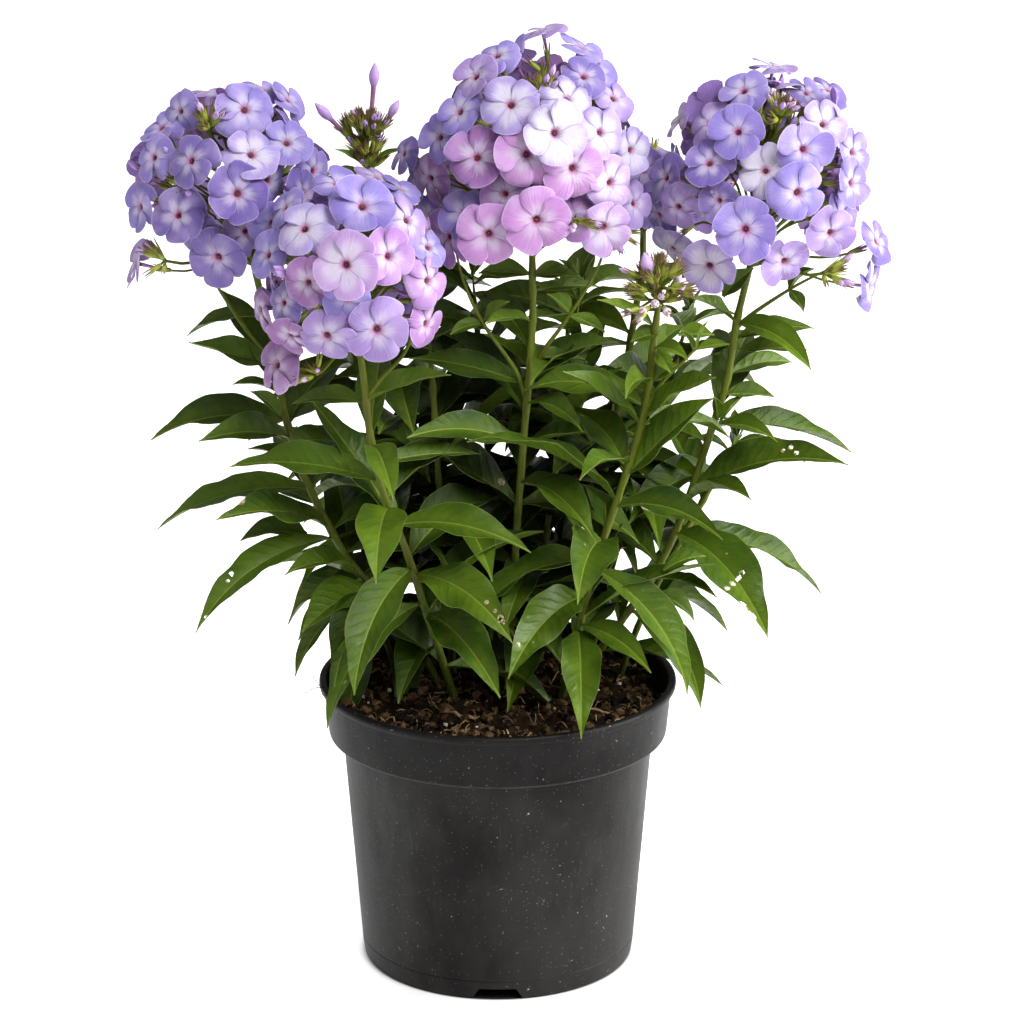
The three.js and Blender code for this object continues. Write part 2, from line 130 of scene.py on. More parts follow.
FURTHER_LEAVES = [
    ("left", [(253, 133, 11, 30, 56, 12), (312, 190, 40, 50, 26, 7)]),
    ("front_left", [(232, 240, -6, 70, 82, 23), (302, 284, 11, 60, 50, 16), (325, 152, 6, 30, 44, 11)]),
    ("center", [(311, 305, 21, 50, 50, 11), (355, 231, 25, 30, 38, 11), (371, 20, 8, 20, 36, 7),
                (380, 178, 4, 20, 28, 6)]),
    ("bud_right", [(229, 336, -20, 60, 84, 17), (280, 342, 52, 14, 66, 25)]),
    ("bud_left", [(318, 345, 20, 50, 66, 18), (290, 10, 25, 55, 70, 19), (340, 350, 15, 40, 56, 15)]),
    ("bud_right", [(195, 308, 11, 40, 60, 13), (308, 35, 4, 40, 60, 12), (349, 305, 20, 40, 30, 8),
                   (360, 205, 39, 20, 36, 10), (345, 60, 30, 40, 36, 9)]),
    ("right", [(252, 297, 36, 40, 70, 13), (291, 309, 30, 50, 50, 12), (321, 38, 13, 30, 44, 10),
               (349, 227, 39, 20, 40, 10), (340, 8, 20, 30, 42, 10)]),
]
LEAVES = [Leaf(stem, node, *row) for stem, rows in MAIN_LEAVES for node, row in enumerate(rows, 1)]
LEAVES += [Leaf(stem, 0, *row) for stem, rows in FURTHER_LEAVES for row in rows]

# What insects have eaten, by stem and leaf: share along, side, the hole's radius and the radius of the scar
# round it.
BITES = {
    ("front_left", 6): [(0.68, 0.30, 0.0, 1.5), (0.76, 0.35, 0.0, 1.4), (0.83, 0.35, 1.1, 2.3),
                        (0.86, 0.55, 0.5, 1.3)],
    ("right", 3): [(0.62, 0.35, 0.8, 1.2), (0.66, 0.55, 0.8, 1.3), (0.70, 0.30, 0.9, 1.3),
                   (0.54, -0.2, 0.0, 0.6)],
    ("right", 1): [(0.62, -0.25, 1.2, 1.7), (0.60, 0.12, 0.9, 1.4), (0.59, 0.28, 1.0, 1.4),
                   (0.64, -0.62, 1.1, 1.6), (0.42, 0.3, 0.0, 0.7), (0.80, -0.95, 3.2, 3.6),
                   (0.86, -0.9, 2.6, 3.0)],
    ("left", 7): [(0.62, -0.45, 1.1, 1.5), (0.66, -0.30, 0.8, 1.2), (0.90, 0.20, 1.0, 1.3)],
    ("left", 5): [(0.86, 0.9, 0.9, 1.0)],
    ("left", 6): [(0.62, 0.2, 0.0, 0.8), (0.74, 0.5, 0.0, 0.7)],
    ("bud_right", 3): [(0.78, -0.35, 0.5, 1.1), (0.70, 0.3, 0.0, 0.5)],
    ("bud_right", 2): [(0.42, -0.2, 0.0, 0.7)],
}

# Small leaves on the side branches and below the flowers: base, tip, width and how light it is.
SPRIGS = [
    ((-112, -20, 306), (-127, -20, 319), 8, 0.5), ((-100, -8, 237), (-135, -8, 234), 17, 0.4),
    ((-66, -8, 208), (-100, -52, 199), 24, 0.9), ((-81, 0, 204), (-104, -20, 183), 12, 0.5),
    ((-85, 10, 189), (-108, 5, 154), 10, 0.2),
    ((116, 0, 296), (128, 0, 311), 8, 1.3), ((115, 2, 297), (113, -4, 312), 6, 1.2),
    ((80, -45, 332), (93, -47, 341), 9, 1.0), ((83, -45, 357), (68, -47, 353), 10, 0.9),
    ((92, -45, 356), (110, -45, 356), 9, 0.9), ((117, 0, 364), (132, 0, 379), 12, 0.5),
    ((17, -15, 380), (-9, -17, 381), 12, 0.6), ((18, -15, 379), (44, -18, 378), 11, 0.5),
    ((85, 0, 202), (104, 0, 187), 12, 0.4), ((86, -40, 228), (108, -40, 236), 12, 0.6),
    ((126, 5, 334), (160, 3, 335), 12, 0.6), ((119, 5, 310), (144, 5, 309), 12, 0.7),
    ((37, -22, 360), (55, -24, 352), 9, 0.7), ((38, -22, 361), (26, -24, 372), 8, 0.9),
    ((-7, -20, 355), (-24, -22, 350), 8, 0.7), ((-6, -20, 356), (6, -24, 368), 8, 0.9),
    ((151, 0, 368), (163, -3, 380), 10, 0.4), ((151, 0, 368), (158, -6, 358), 8, 0.4),
    ((-66, 45, 400), (-52, 42, 411), 11, 0.4), ((-66, 45, 396), (-82, 42, 402), 6, 0.5),
    ((-66, 45, 403), (-50, 42, 398), 5, 0.5), ((-67, 45, 418), (-92, 40, 419), 6, 0.5),
    ((-66, 45, 424), (-44, 42, 433), 4, 0.5), ((-67, 45, 420), (-84, 40, 433), 5, 0.6),
    ((80, -45, 348), (88, -52, 338), 9, 1.0), ((101, -50, 350), (117, -54, 354), 6, 0.8),
    ((101, -50, 350), (106, -54, 366), 5, 0.9), ((100, -50, 349), (93, -56, 362), 5, 0.7),
]

# Thin side branches that leave a stem and end under the flowers.
BRANCH_POINTS = 24
BRANCHES = [
    [(16.5, -14, 318), (22, -14, 336), (37, -22, 360), (52, -26, 388), (56, -27, 408)],
    [(15.5, -14, 309), (10, -15, 328), (-7, -20, 355), (-17, -23, 378), (-22, -24, 400)],
    [(123, 5, 338), (127, 5, 349), (151, 0, 368), (172, -2, 380)],
    [(-112, -3, 308), (-114, -6, 326), (-132, -8, 352), (-148, -9, 380), (-152, -9, 398)],
    [(74, -45, 312), (83, -46, 330), (96, -50, 345), (102, -50, 352)],
    [(-66, -61, 328), (-58, -60, 338), (-46, -60, 352), (-40, -58, 372)],
]

# Thin shoots without flowers that fill the plant's middle: foot, middle and top.
SHOOT_POINTS = 40
SHOOT_RADII = 2.0, 1.1
SHOOTS = {
    "a": [(-30, 38, 128), (-44, 44, 200), (-84, 52, 345)],
    "b": [(0, 54, 128), (-2, 62, 210), (-14, 64, 368)],
    "c": [(46, 44, 128), (62, 52, 200), (104, 58, 345)],
    "d": [(12, 22, 128), (24, 26, 210), (44, 22, 368)],
    "e": [(-22, 22, 128), (-28, 20, 205), (-36, 8, 352)],
    "f": [(60, 26, 128), (82, 28, 190), (130, 34, 282)],
    "g": [(-48, 24, 128), (-70, 30, 190), (-114, 40, 272)],
    "h": [(30, 60, 128), (34, 66, 200), (38, 68, 350)],
}

# Filling leaves that have dropped off: the joint's height, and which leaf of the pair.
BARE_JOINTS = {
    "shoot_a": [(277, 0)],
    "shoot_b": [(345, 1)],
    "shoot_c": [(260, 0), (311, 0), (311, 1), (328, 0)],
    "shoot_d": [(192, 1), (328, 0), (345, 1)],
    "shoot_f": [(175, 1), (192, 1), (209, 1), (226, 0), (243, 1)],
    "shoot_g": [(192, 0), (209, 1), (226, 1)],
    "shoot_h": [(192, 1), (311, 1)],
    "left": [(279, 0)],
    "right": [(267, 0), (318, 1), (352, 0)],
    "bud_right": [(267, 0), (335, 0)],
    "back_right": [(221, 1), (289, 1), (323, 1), (340, 0), (340, 1)],
}

# A bloom's across and up are its place in the camera's view from its head's middle, radius is the corolla's,
# lift brings it forward of the head's dome, and turn_x and turn_y face it right and up from the camera.
Bloom = namedtuple("Bloom", "across up radius tone lift turn_x turn_y", defaults=(0, 0, 0))


class Head:
    """A dome of blooms round a middle. cover is how full the rest of the dome is. A tuft is a bunch of
    calyces: across, up, turn_x, turn_y, how many there are, and its distance from the middle as a share of
    the dome's."""

    def __init__(self, middle, radii, cover, tufts, blooms):
        self.middle, self.radii = np.array(middle, float), np.array(radii, float)
        self.size = (radii[0] / 50) ** 2
        self.cover, self.tufts = cover, tufts
        self.blooms = [Bloom(*row) for row in blooms]


HEADS = {
    "center": Head(
        (18, -10, 428), (54, 52, 72), 0.55,
        [(7, 46, 0, 60, 12, 0.82), (24, -26, 30, -20, 9, 0.86), (53, -31, 100, -5, 6, 0.80)],
        [(-11, 34, 16, "pale", 2), (17, 37, 15, "pale"), (11, 19, 16.5, "white", 7), (34, 21, 14, "pale", 1),
         (-28, 8, 16, "mauve"), (-3, 9, 17, "pink", 1), (20, 2, 16, "pink", 1), (39, -4, 14, "pale_pink", 0),
         (2, -24, 17.5, "pink", 5), (-22, -30, 17, "pink", 3), (-43, -30, 15.5, "mauve", 0),
         (36, -26, 15, "pale_pink", 1), (-29, 50, 14, "lavender"), (-18, 61, 13, "blue"),
         (25, 67, 13, "blue", 0), (5, 76, 13, "lavender", 0, 10, 74), (-37, 32, 14, "blue"),
         (-47, 20, 13, "blue"), (-52, 0, 13, "mauve"), (33, 54, 13, "blue"), (41, 40, 13, "lavender"),
         (50, 14, 13, "pale"), (-14, -10, 14, "mauve", -6), (22, -22, 12, "mauve", -8),
         (52, -12, 13, "lavender", -3), (-53, -18, 12, "violet", -3), (-66, 14, 11, "violet", -4, -50, 10),
         (-59, 0, 11, "violet", -4, -62, 0)]),
    "left": Head(
        (-137, 0, 421), (50, 49, 51), 0.6, [(-9, 32, -15, 45, 14, 0.86), (-30, -36, -80, 0, 9, 1.05)],
        [(10, 38, 16.5, "blue", 3), (14, 14, 15.5, "pale", 2), (31, 21, 13.5, "blue", 1),
         (-17, 11, 15, "violet", 1, -37, 0), (-24, -16, 15, "violet", 0, -30, 0), (7, -6, 16.5, "violet", 4),
         (-4, -37, 16, "violet", 2), (-24, 38, 12, "blue", 0, -45, 10), (10, -24, 13, "violet", -9),
         (-13, 50, 12, "lavender", 0, -30, 75), (16, 52, 13, "blue"), (30, 46, 13, "blue"),
         (-37, 14, 13, "blue", -2), (-45, -10, 14, "blue", -3), (-34, 30, 13, "blue", -2),
         (44, 8, 13, "blue", -3), (24, -20, 14, "blue", -2), (-14, -24, 13, "violet", -6),
         (-48, -38, 14, "lavender", 4, -68, 0)]),
    "front_left": Head(
        (-74, -59, 390), (46, 46, 50), 0.6, [(-18, -54, -20, -20, 8, 0.90)],
        [(-21, 22, 16, "pale", 2), (8, 33, 16.5, "blue", 3), (0, 3, 17.5, "pale_pink", 6),
         (21, 8, 14.5, "orchid", 1), (30, 27, 15, "lavender", 1, 42, 10), (-40, 10, 14, "blue", -1),
         (-19, -5, 14, "mauve", -2), (-10, -31, 15, "lavender", 1), (15, -28, 17, "lavender", 4),
         (39, -24, 13.5, "mauve", 3), (40, -3, 14, "orchid", 1, 38, 0), (-37, -44, 16, "mauve", 1, -44, 0),
         (-45, -16, 12, "mauve", -3), (-32, 34, 12, "blue", -2), (-6, 46, 13, "blue"),
         (14, 50, 12, "lavender"), (26, 44, 12, "blue"), (40, 14, 12, "blue", -2),
         (-32, -14, 12, "violet", -5)]),
    "right": Head(
        (136, 5, 421), (53, 51, 56), 0.6,
        [(7, 34, 10, 45, 22, 0.92), (29, -43, 70, 0, 11, 1.05), (-33, 0, -10, 0, 8, 0.72)],
        [(-15, 24, 15.5, "blue", 3), (-11, 47, 14.5, "blue", 1, -12, 42), (18, 15, 15, "blue", 4),
         (29, 29, 14, "pale", 2), (-1, 5, 14.5, "white", -5), (15, -7, 16, "blue", 4),
         (-11, -25, 17, "blue", 4), (33, -26, 14, "lavender", 2), (-28, -42, 15.5, "pale", 2),
         (-46, -32, 14, "pale", 1), (-29, 9, 14, "violet", -1), (-24, -10, 12, "violet", -4),
         (-43, 34, 10, "pale_pink", -2),
         (6, 62, 13, "lavender", 0, 10, 78), (34, 50, 13, "violet"), (45, 16, 13, "blue", -1),
         (44, 0, 13, "blue", -2), (22, 47, 11, "violet", -4), (-50, 4, 14, "violet", -6),
         (-53, -14, 14, "violet", -6), (10, -40, 14, "lavender", -3), (-44, -12, 13, "lavender", -4),
         (59, -28, 13, "violet", 4, 57, 8), (56, -51, 14, "violet", 2, 74, -15)]),
    "back_right": Head(
        (78, 60, 405), (27, 27, 27), 0.8, [],
        [(-2, 10, 14, "violet"), (4, -8, 14, "violet"), (-16, 2, 13, "blue")]),
}

# A cluster of unopened buds: how far it rises above its stem, the share of its branches' ends that are buds,
# and how pale those are. A tier is its share of the rise, how many branches, their reach, and the elevation
# of the first and the last. A bud is azimuth, elevation, length, width, distance from the middle, and how
# pale it is.
Cluster = namedtuple("Cluster", "rise budded pale tiers buds")
CLUSTERS = {
    "left": Cluster(
        17, 0.08, 0.1, [(1.0, 11, 8.5, 86, 16), (0.45, 6, 4.5, 62, 36), (0.1, 4, 3.0, 60, 40)],
        [(60, 80, 37, 2.9, 12, 0.1), (188, 47, 28, 2.7, 12, 0.1), (8, 60, 19, 2.4, 15, 0.1)]),
    "right": Cluster(
        14, 0.06, 0.4, [(1.0, 13, 8.5, 86, -4), (0.5, 6, 6.0, 45, 5)],
        [(215, 70, 22, 3.5, 6, 0.2), (262, 8, 9, 2.3, 9, 1.0), (240, -6, 8, 2.2, 11, 1.0),
         (285, -8, 8, 2.3, 10, 1.0), (205, -14, 8, 2.1, 12, 1.0), (228, -24, 8, 2.2, 11, 0.8),
         (275, 22, 8, 1.9, 9, 0.9), (70, 60, 12, 2.0, 8, 0.3)]),
}

# Petal colours as linear RGB.
TONES = {
    "blue": (0.225, 0.180, 0.520), "violet": (0.150, 0.110, 0.350), "lavender": (0.310, 0.210, 0.500),
    "pale": (0.350, 0.280, 0.580), "white": (0.410, 0.360, 0.590), "pale_pink": (0.460, 0.300, 0.560),
    "pink": (0.440, 0.215, 0.470), "orchid": (0.360, 0.190, 0.450), "mauve": (0.285, 0.130, 0.340),
}
PALENESS = {"white": 1.0, "pale": 0.55, "pale_pink": 0.4}


# ------------------------------------------------------------------ vectors and curves

def unit(vector):
    return vector / np.linalg.norm(vector)


def direction(azimuth, elevation):
    a, e = math.radians(azimuth), math.radians(elevation)
    return np.array([math.cos(e) * math.cos(a), math.cos(e) * math.sin(a), math.sin(e)])


def jitter(source, size=1.0):
    return np.array([source.uniform(-size, size) for _ in range(3)])


def interpolate(x, knots, values):
    """Interpolates every column of values, which are known at the knots."""
    return np.stack([np.interp(x, knots, column) for column in values.T], axis=-1)


def at_height(path, height):
    """The place where a rising path reaches a height."""
    return interpolate(height, path[:, 2], path)


def spline(points, count):
    """Points along a smooth curve through the given ones, evenly spaced by length."""
    knots = np.array(points, float)
    padded = np.vstack([2 * knots[0] - knots[1], knots, 2 * knots[-1] - knots[-2]])
    dense = []
    for a, b, c, d in zip(padded, padded[1:], padded[2:], padded[3:]):
        for t in np.linspace(0, 1, 24, endpoint=False):
            dense.append(0.5 * (2 * b + (c - a) * t + (2 * a - 5 * b + 4 * c - d) * t ** 2
                                + (3 * b - a - 3 * c + d) * t ** 3))
    dense = np.array(dense + [knots[-1]])
    lengths = np.concatenate([[0], np.cumsum(np.linalg.norm(np.diff(dense, axis=0), axis=1))])
    return interpolate(np.linspace(0, lengths[-1], count), lengths, dense)


def bend_between(start, start_way, end, end_way, count):
    """A smooth path from start to end that leaves and arrives along the given ways."""
    pull = np.linalg.norm(end - start) * 0.4
    t = np.linspace(0, 1, count)[:, None]
    return ((1 - t) ** 3 * start + 3 * (1 - t) ** 2 * t * (start + start_way * pull)
            + 3 * (1 - t) * t ** 2 * (end - end_way * pull) + t ** 3 * end)


def frames_along(points):
    """Two steady cross directions at every point of a path."""
    tangents = np.gradient(points, axis=0)
    tangents /= np.linalg.norm(tangents, axis=1)[:, None]
    side = unit(np.cross(tangents[0], [0.31, 0.95, 0.11]))
    sides = []
    for tangent in tangents:
        side = unit(side - tangent * side.dot(tangent))
        sides.append(side)
    return np.array(sides), np.cross(tangents, sides)


def crowded(count):
    """Shares from -1 to 1 that lie closer together towards both ends."""
    t = np.linspace(-1, 1, count)
    return np.sign(t) * (1 - (1 - np.abs(t)) ** 1.25)


def about_z(points, angle):
    c, s = math.cos(angle), math.sin(angle)
    return np.asarray(points, float) @ np.array([[c, s, 0], [-s, c, 0], [0, 0, 1]])


def turn_to(points, normal, spin):
    """Turns points so that +Z becomes normal, after a spin about +Z."""
    normal = unit(normal)
    guide = UP if abs(normal[2]) < 0.95 else np.array([0.0, 1.0, 0.0])
    x_axis = unit(np.cross(guide, normal))
    return about_z(points, spin) @ np.array([x_axis, np.cross(normal, x_axis), normal])


def view_axes():
    """The camera's right, up and forward directions."""
    pitch = math.radians(CAMERA_PITCH)
    right = np.array([1.0, 0.0, 0.0])
    up = np.array([0.0, math.sin(pitch), math.cos(pitch)])
    return right, up, np.array([0.0, math.cos(pitch), -math.sin(pitch)])


# ------------------------------------------------------------------ mesh building

def new_object(name, data):
    obj = bpy.data.objects.new(name, data)
    bpy.context.scene.collection.objects.link(obj)
    return obj


def new_mesh(name, points, faces):
    mesh = bpy.data.meshes.new(name)
    mesh.from_pydata(np.asarray(points, float) * MM, [], faces)
    return mesh


def graded(grade, seed, extra=0.0):
    """Per-point values: a share along the piece, a chance number and one more number."""
    return np.column_stack([grade, np.full(len(grade), seed), np.full(len(grade), extra)])


class Build:
    """Gathers points, faces and per-point values, and makes one object from them."""

    def __init__(self):
        self.points, self.faces, self.values = [], [], {}
        self.count = 0

    def add(self, points, faces, **values):
        self.points.append(points)
        self.faces.extend([tuple(i + self.count for i in face) for face in faces])
        for name, value in values.items():
            value = np.asarray(value, float)
            self.values.setdefault(name, []).append(np.broadcast_to(value, (len(points), 3)))
        self.count += len(points)

    def add_tube(self, path, radii, sides, grade, seed, extra=0.0):
        points, faces = tube(path, radii, sides)
        self.add(points, faces, grade=graded(np.repeat(grade, sides), seed, extra))

    def mesh(self, name):
        return new_mesh(name, np.vstack(self.points), self.faces)

    def piece(self, name, material, slot_name, nodes=(), sharp=60):
        mesh = self.mesh(name)
        for key, arrays in self.values.items():
            attribute = mesh.attributes.new(key, "FLOAT_VECTOR", "POINT")
            attribute.data.foreach_set("vector", np.vstack(arrays).astype(np.float32).ravel())
        mesh.polygons.foreach_set("use_smooth", [True] * len(mesh.polygons))
        mesh.set_sharp_from_angle(angle=math.radians(sharp))
        mesh.materials.append(material)
        mesh.update()
        obj = new_object(name, mesh)
        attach(obj, "root")
        if nodes:
            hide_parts(*nodes)
        return obj


def shell(top, bottom, kept):
    """A thin closed solid between two grids of points. kept says which of the grid's cells are there. Points
    that no face uses are left out, so the kept points' old numbers are returned as well."""
    rows, columns = top.shape[:2]
    size = rows * columns
    faces = []
    for r, c in np.argwhere(kept).tolist():
        a = r * columns + c
        b, d, e = a + 1, a + columns + 1, a + columns
        faces += [(a, b, d, e), (a + size, e + size, d + size, b + size)]
        for next_r, next_c, p, q in ((r - 1, c, b, a), (r + 1, c, e, d), (r, c - 1, a, e), (r, c + 1, d, b)):
            inside = 0 <= next_r < rows - 1 and 0 <= next_c < columns - 1
            if not (inside and kept[next_r, next_c]):
                faces.append((p, q, q + size, p + size))
    used = np.unique(faces)
    renumber = dict(zip(used.tolist(), range(len(used))))
    points = np.vstack([top.reshape(-1, 3), bottom.reshape(-1, 3)])[used]
    return points, [tuple(renumber[i] for i in face) for face in faces], used


def loft_faces(rings, sides):
    """The faces of a closed solid that runs from ring to ring of points and is flat at both ends."""
    faces = []
    for r in range(rings - 1):
        for k in range(sides):
            a, b = r * sides + k, r * sides + (k + 1) % sides
            faces.append((a, b, b + sides, a + sides))
    last = (rings - 1) * sides
    return faces + [tuple(reversed(range(sides))), tuple(range(last, last + sides))]


def tube(path, radii, sides):
    """A closed tube along a path, round at both ends if the radii shrink there."""
    path = np.asarray(path, float)
    side, other = frames_along(path)
    angles = np.linspace(0, FULL_TURN, sides, endpoint=False)
    cos, sin = np.cos(angles)[None, :, None], np.sin(angles)[None, :, None]
    ring = cos * side[:, None, :] + sin * other[:, None, :]
    points = path[:, None, :] + ring * np.asarray(radii, float)[:, None, None]
    return points.reshape(-1, 3), loft_faces(len(path), sides)


def turned(profile, sides):
    """A closed solid of revolution about +Z from (radius, height) pairs that run axis to axis."""
    points, faces, rings = [], [], []
    for radius, height in profile:
        on_axis = radius < 1e-6
        rings.append([len(points) + (0 if on_axis else k) for k in range(sides)])
        for k in range(1 if on_axis else sides):
            angle = FULL_TURN * k / sides
            points.append((radius * math.cos(angle), radius * math.sin(angle), height))
    for low, high in zip(rings, rings[1:]):
        for k in range(sides):
            following = (k + 1) % sides
            face = tuple(dict.fromkeys([low[k], low[following], high[following], high[k]]))
            if len(face) > 2:
                faces.append(face)
    return np.array(points, float), faces


# ------------------------------------------------------------------ materials, with colours as linear RGB

class Wire:
    """A shader node's output. Sums and products of wires make the maths nodes they need."""

    def __init__(self, nodes, socket):
        self.nodes, self.socket = nodes, socket

    def __add__(self, other):
        return self.nodes.math("ADD", self, other)

    def __sub__(self, other):
        return self.nodes.math("SUBTRACT", self, other)

    def __rsub__(self, other):
        return self.nodes.math("SUBTRACT", other, self)

    def __mul__(self, other):
        return self.nodes.math("MULTIPLY", self, other)

    def __abs__(self):
        return self.nodes.math("ABSOLUTE", self)

    def other(self, name):
        """Another output of the same node."""
        return Wire(self.nodes, self.socket.node.outputs[name])


class Nodes:
    """Makes and joins a material's shader nodes. paint() lays a colour over those that are there."""

    def __init__(self, name, colour=None):
        self.material = bpy.data.materials.new(name)
        self.material.use_nodes = True
        self.tree = self.material.node_tree
        self.shader = self.tree.nodes["Principled BSDF"]
        self.colour = colour

    def feed(self, socket, value):
        if isinstance(value, Wire):
            self.tree.links.new(value.socket, socket)
        else:
            socket.default_value = (*value, 1.0) if socket.type == "RGBA" else value

    def new(self, kind, inputs, output=0, **settings):
        """Makes a node, feeds the inputs that are given by number or name, and returns one output."""
        node = self.tree.nodes.new(kind)
        for key, value in settings.items():
            setattr(node, key, value)
        for key, value in inputs.items():
            self.feed(node.inputs[key], value)
        return Wire(self, node.outputs[output])

    def math(self, operation, a, b=0.0):
        return self.new("ShaderNodeMath", {0: a, 1: b}, operation=operation)

    def larger(self, a, b):
        return self.math("MAXIMUM", a, b)

    def ramp(self, value, low, high, to_low=0.0, to_high=1.0):
        inputs = dict(enumerate((value, low, high, to_low, to_high)))
        return self.new("ShaderNodeMapRange", inputs, interpolation_type="SMOOTHSTEP")

    def mix(self, factor, a, b, blend="MIX"):
        return self.new("ShaderNodeMix", {0: factor, 6: a, 7: b}, 2, data_type="RGBA", blend_type=blend)

    def multiply(self, a, b):
        return self.mix(1.0, a, b, "MULTIPLY")

    def paint(self, factor, colour):
        self.colour = self.mix(factor, self.colour, colour)

    def combine(self, x, y, z):
        return self.new("ShaderNodeCombineXYZ", {0: x, 1: y, 2: z})

    def split(self, vector):
        x = self.new("ShaderNodeSeparateXYZ", {0: vector})
        return x, x.other("Y"), x.other("Z")

    def attribute(self, name):
        return self.new("ShaderNodeAttribute", {}, "Vector", attribute_name=name)

    def place(self):
        return self.new("ShaderNodeTexCoord", {}, "Object")

    def noise(self, where, scale, detail=3.0, roughness=0.55):
        inputs = {"Vector": where, "Scale": scale, "Detail": detail, "Roughness": roughness}
        return self.new("ShaderNodeTexNoise", inputs, "Fac")

    def cells(self, where, scale, feature="F1"):
        """The distance to the middles or edges of a pattern of cells."""
        inputs = {"Vector": where, "Scale": scale}
        return self.new("ShaderNodeTexVoronoi", inputs, "Distance", feature=feature)

    def drawn_out(self, where, z_scale):
        """Places that give a pattern drawn out along the height."""
        return self.new("ShaderNodeMapping", {"Vector": where, "Scale": (1.0, 1.0, z_scale)})

    def bump(self, height, distance, strength):
        inputs = {"Strength": strength, "Distance": distance, "Height": height}
        self.set(Normal=self.new("ShaderNodeBump", inputs))

    def set(self, **values):
        for key, value in values.items():
            self.feed(self.shader.inputs[key.replace("_", " ")], value)

    def finish(self, **values):
        self.set(Base_Color=self.colour, **values)
        return self.material


def petal_material():
    """shape holds radius, side and whether the point is on the underside. tone is the outer colour. kind
    holds a chance number and how pale the petal is."""
    n = Nodes("petal")
    radius, side, under = n.split(n.attribute("shape"))
    tone = n.colour = n.attribute("tone")
    seed, pale, _ = n.split(n.attribute("kind"))
    streaks = n.noise(n.combine(side * 4.0, radius * 1.4, seed), 1.6, 2.0)
    veins = n.noise(n.combine(side * 17.0, radius * 1.1, seed), 1.0, 2.0)
    middle = 1.0 - abs(side)
    deeper = n.multiply(tone, (0.60, 0.48, 0.78))
    n.paint(n.ramp(radius, 0.45, 0.90, 0.0, 0.28), deeper)
    n.paint(n.ramp(veins, 0.50, 0.72) * 0.30, deeper)
    n.paint(n.ramp(n.noise(n.place(), 70.0, 2.0), 0.40, 0.75, 0.0, 0.22), (0.72, 0.58, 0.86))
    star_reach = middle * 0.24 + streaks * 0.24 + veins * 0.30 + 0.02 + pale * 0.40
    n.paint(n.ramp(star_reach - radius, -0.19, 0.17) * (pale * 0.38 + 0.52), (0.62, 0.56, 0.71))
    # painted shade: dark lines along the lobes' sides near the middle, where one lobe overlaps the next
    lobe_overlap_shade = n.ramp(abs(side), 0.84, 0.98) * n.ramp(radius, 0.85, 0.45)
    n.paint(lobe_overlap_shade * 0.62, n.multiply(deeper, (0.62, 0.45, 0.72)))
    # painted highlight: a pale rim round the lobe's edge, where light shows through it
    n.paint(n.ramp(n.larger(radius, abs(side)), 0.950, 1.0, 0.0, 0.34), (0.64, 0.56, 0.82))
    blush = n.ramp(radius + streaks * 0.20, middle * 0.12 + 0.31, 0.16)
    n.paint(blush * 0.72, (0.50, 0.095, 0.32))
    eye = n.ramp(radius + veins * 0.12, 0.215, 0.135)
    n.paint(eye, (0.300, 0.020, 0.110))
    # the eye's own dark centre, with painted shade where the throat goes down into the tube
    throat = n.ramp(radius, 0.085, 0.060)
    n.paint(throat, (0.090, 0.008, 0.022))
    n.paint(under, n.mix(0.55, tone, (0.27, 0.15, 0.40)))
    n.bump(veins + streaks * 0.6, 0.0006, 0.7)
    return n.finish(Roughness=0.60, Specular_IOR_Level=0.28, Sheen_Weight=0.10, Subsurface_Weight=0.35,
                    Subsurface_Radius=(1.0, 0.7, 1.2), Subsurface_Scale=0.0020)


def tube_material():
    """The corolla's tube: purple-pink, paler towards the face, with painted shade at its end, which shows
    down the throat. grade is 0 at the calyx and 1 at the face.
    """
    n = Nodes("corolla_tube", (0.30, 0.10, 0.29))
    grade, seed, _ = n.split(n.attribute("grade"))
    mottle = n.noise(n.drawn_out(n.place(), 0.3), 420.0)
    n.paint(n.ramp(grade, 0.0, 1.0), (0.50, 0.23, 0.52))
    n.paint(n.ramp(mottle, 0.4, 0.7, 0.0, 0.4), (0.60, 0.34, 0.64))
    n.paint(seed * 0.35, (0.34, 0.24, 0.56))
    # painted shade: the tube's end is nearly black, so the throat looks dark
    n.paint(n.ramp(grade, 0.86, 0.99), (0.05, 0.008, 0.012))
    n.bump(mottle, 0.0002, 0.5)
    return n.finish(Roughness=0.6, Specular_IOR_Level=0.3, Subsurface_Weight=0.2, Subsurface_Scale=0.001)


def bud_material():
    """grade holds the share of the bud's length, a chance number and how pale the bud is."""
    n = Nodes("unopened_bud", (0.15, 0.028, 0.11))
    grade, seed, pale = n.split(n.attribute("grade"))
    streak = n.noise(n.combine(seed * 9.0, grade * 2.0, seed), 3.0)
    fine = n.noise(n.place(), 600.0, 2.0)
    n.paint(n.ramp(grade, 0.44, 0.60), (0.36, 0.22, 0.54))
    n.paint(n.ramp(streak, 0.4, 0.7, 0.0, 0.45) * n.ramp(grade, 0.5, 0.9), (0.58, 0.40, 0.70))
    n.paint(pale * 0.8, (0.66, 0.52, 0.52))
    n.paint(fine * 0.2, (0.7, 0.5, 0.78))
    n.bump(fine, 0.0002, 0.4)
    return n.finish(Roughness=0.55, Specular_IOR_Level=0.35, Subsurface_Weight=0.2, Subsurface_Scale=0.001)


def calyx_material():
    """grade runs from 0 at the calyx's base to 1 at the tips of its teeth."""
    n = Nodes("calyx", (0.180, 0.225, 0.020))
    grade, seed, _ = n.split(n.attribute("grade"))
    blotch = n.noise(n.place(), 260.0)
    n.paint(seed, (0.440, 0.480, 0.070))
    n.paint(n.ramp(grade + blotch * 0.5, 0.68, 1.16) * 0.90, (0.120, 0.030, 0.040))
    n.paint(n.ramp(blotch, 0.45, 0.75, 0.0, 0.4), (0.16, 0.19, 0.05))
    n.bump(blotch, 0.0003, 0.5)
    return n.finish(Roughness=0.55, Specular_IOR_Level=0.35)


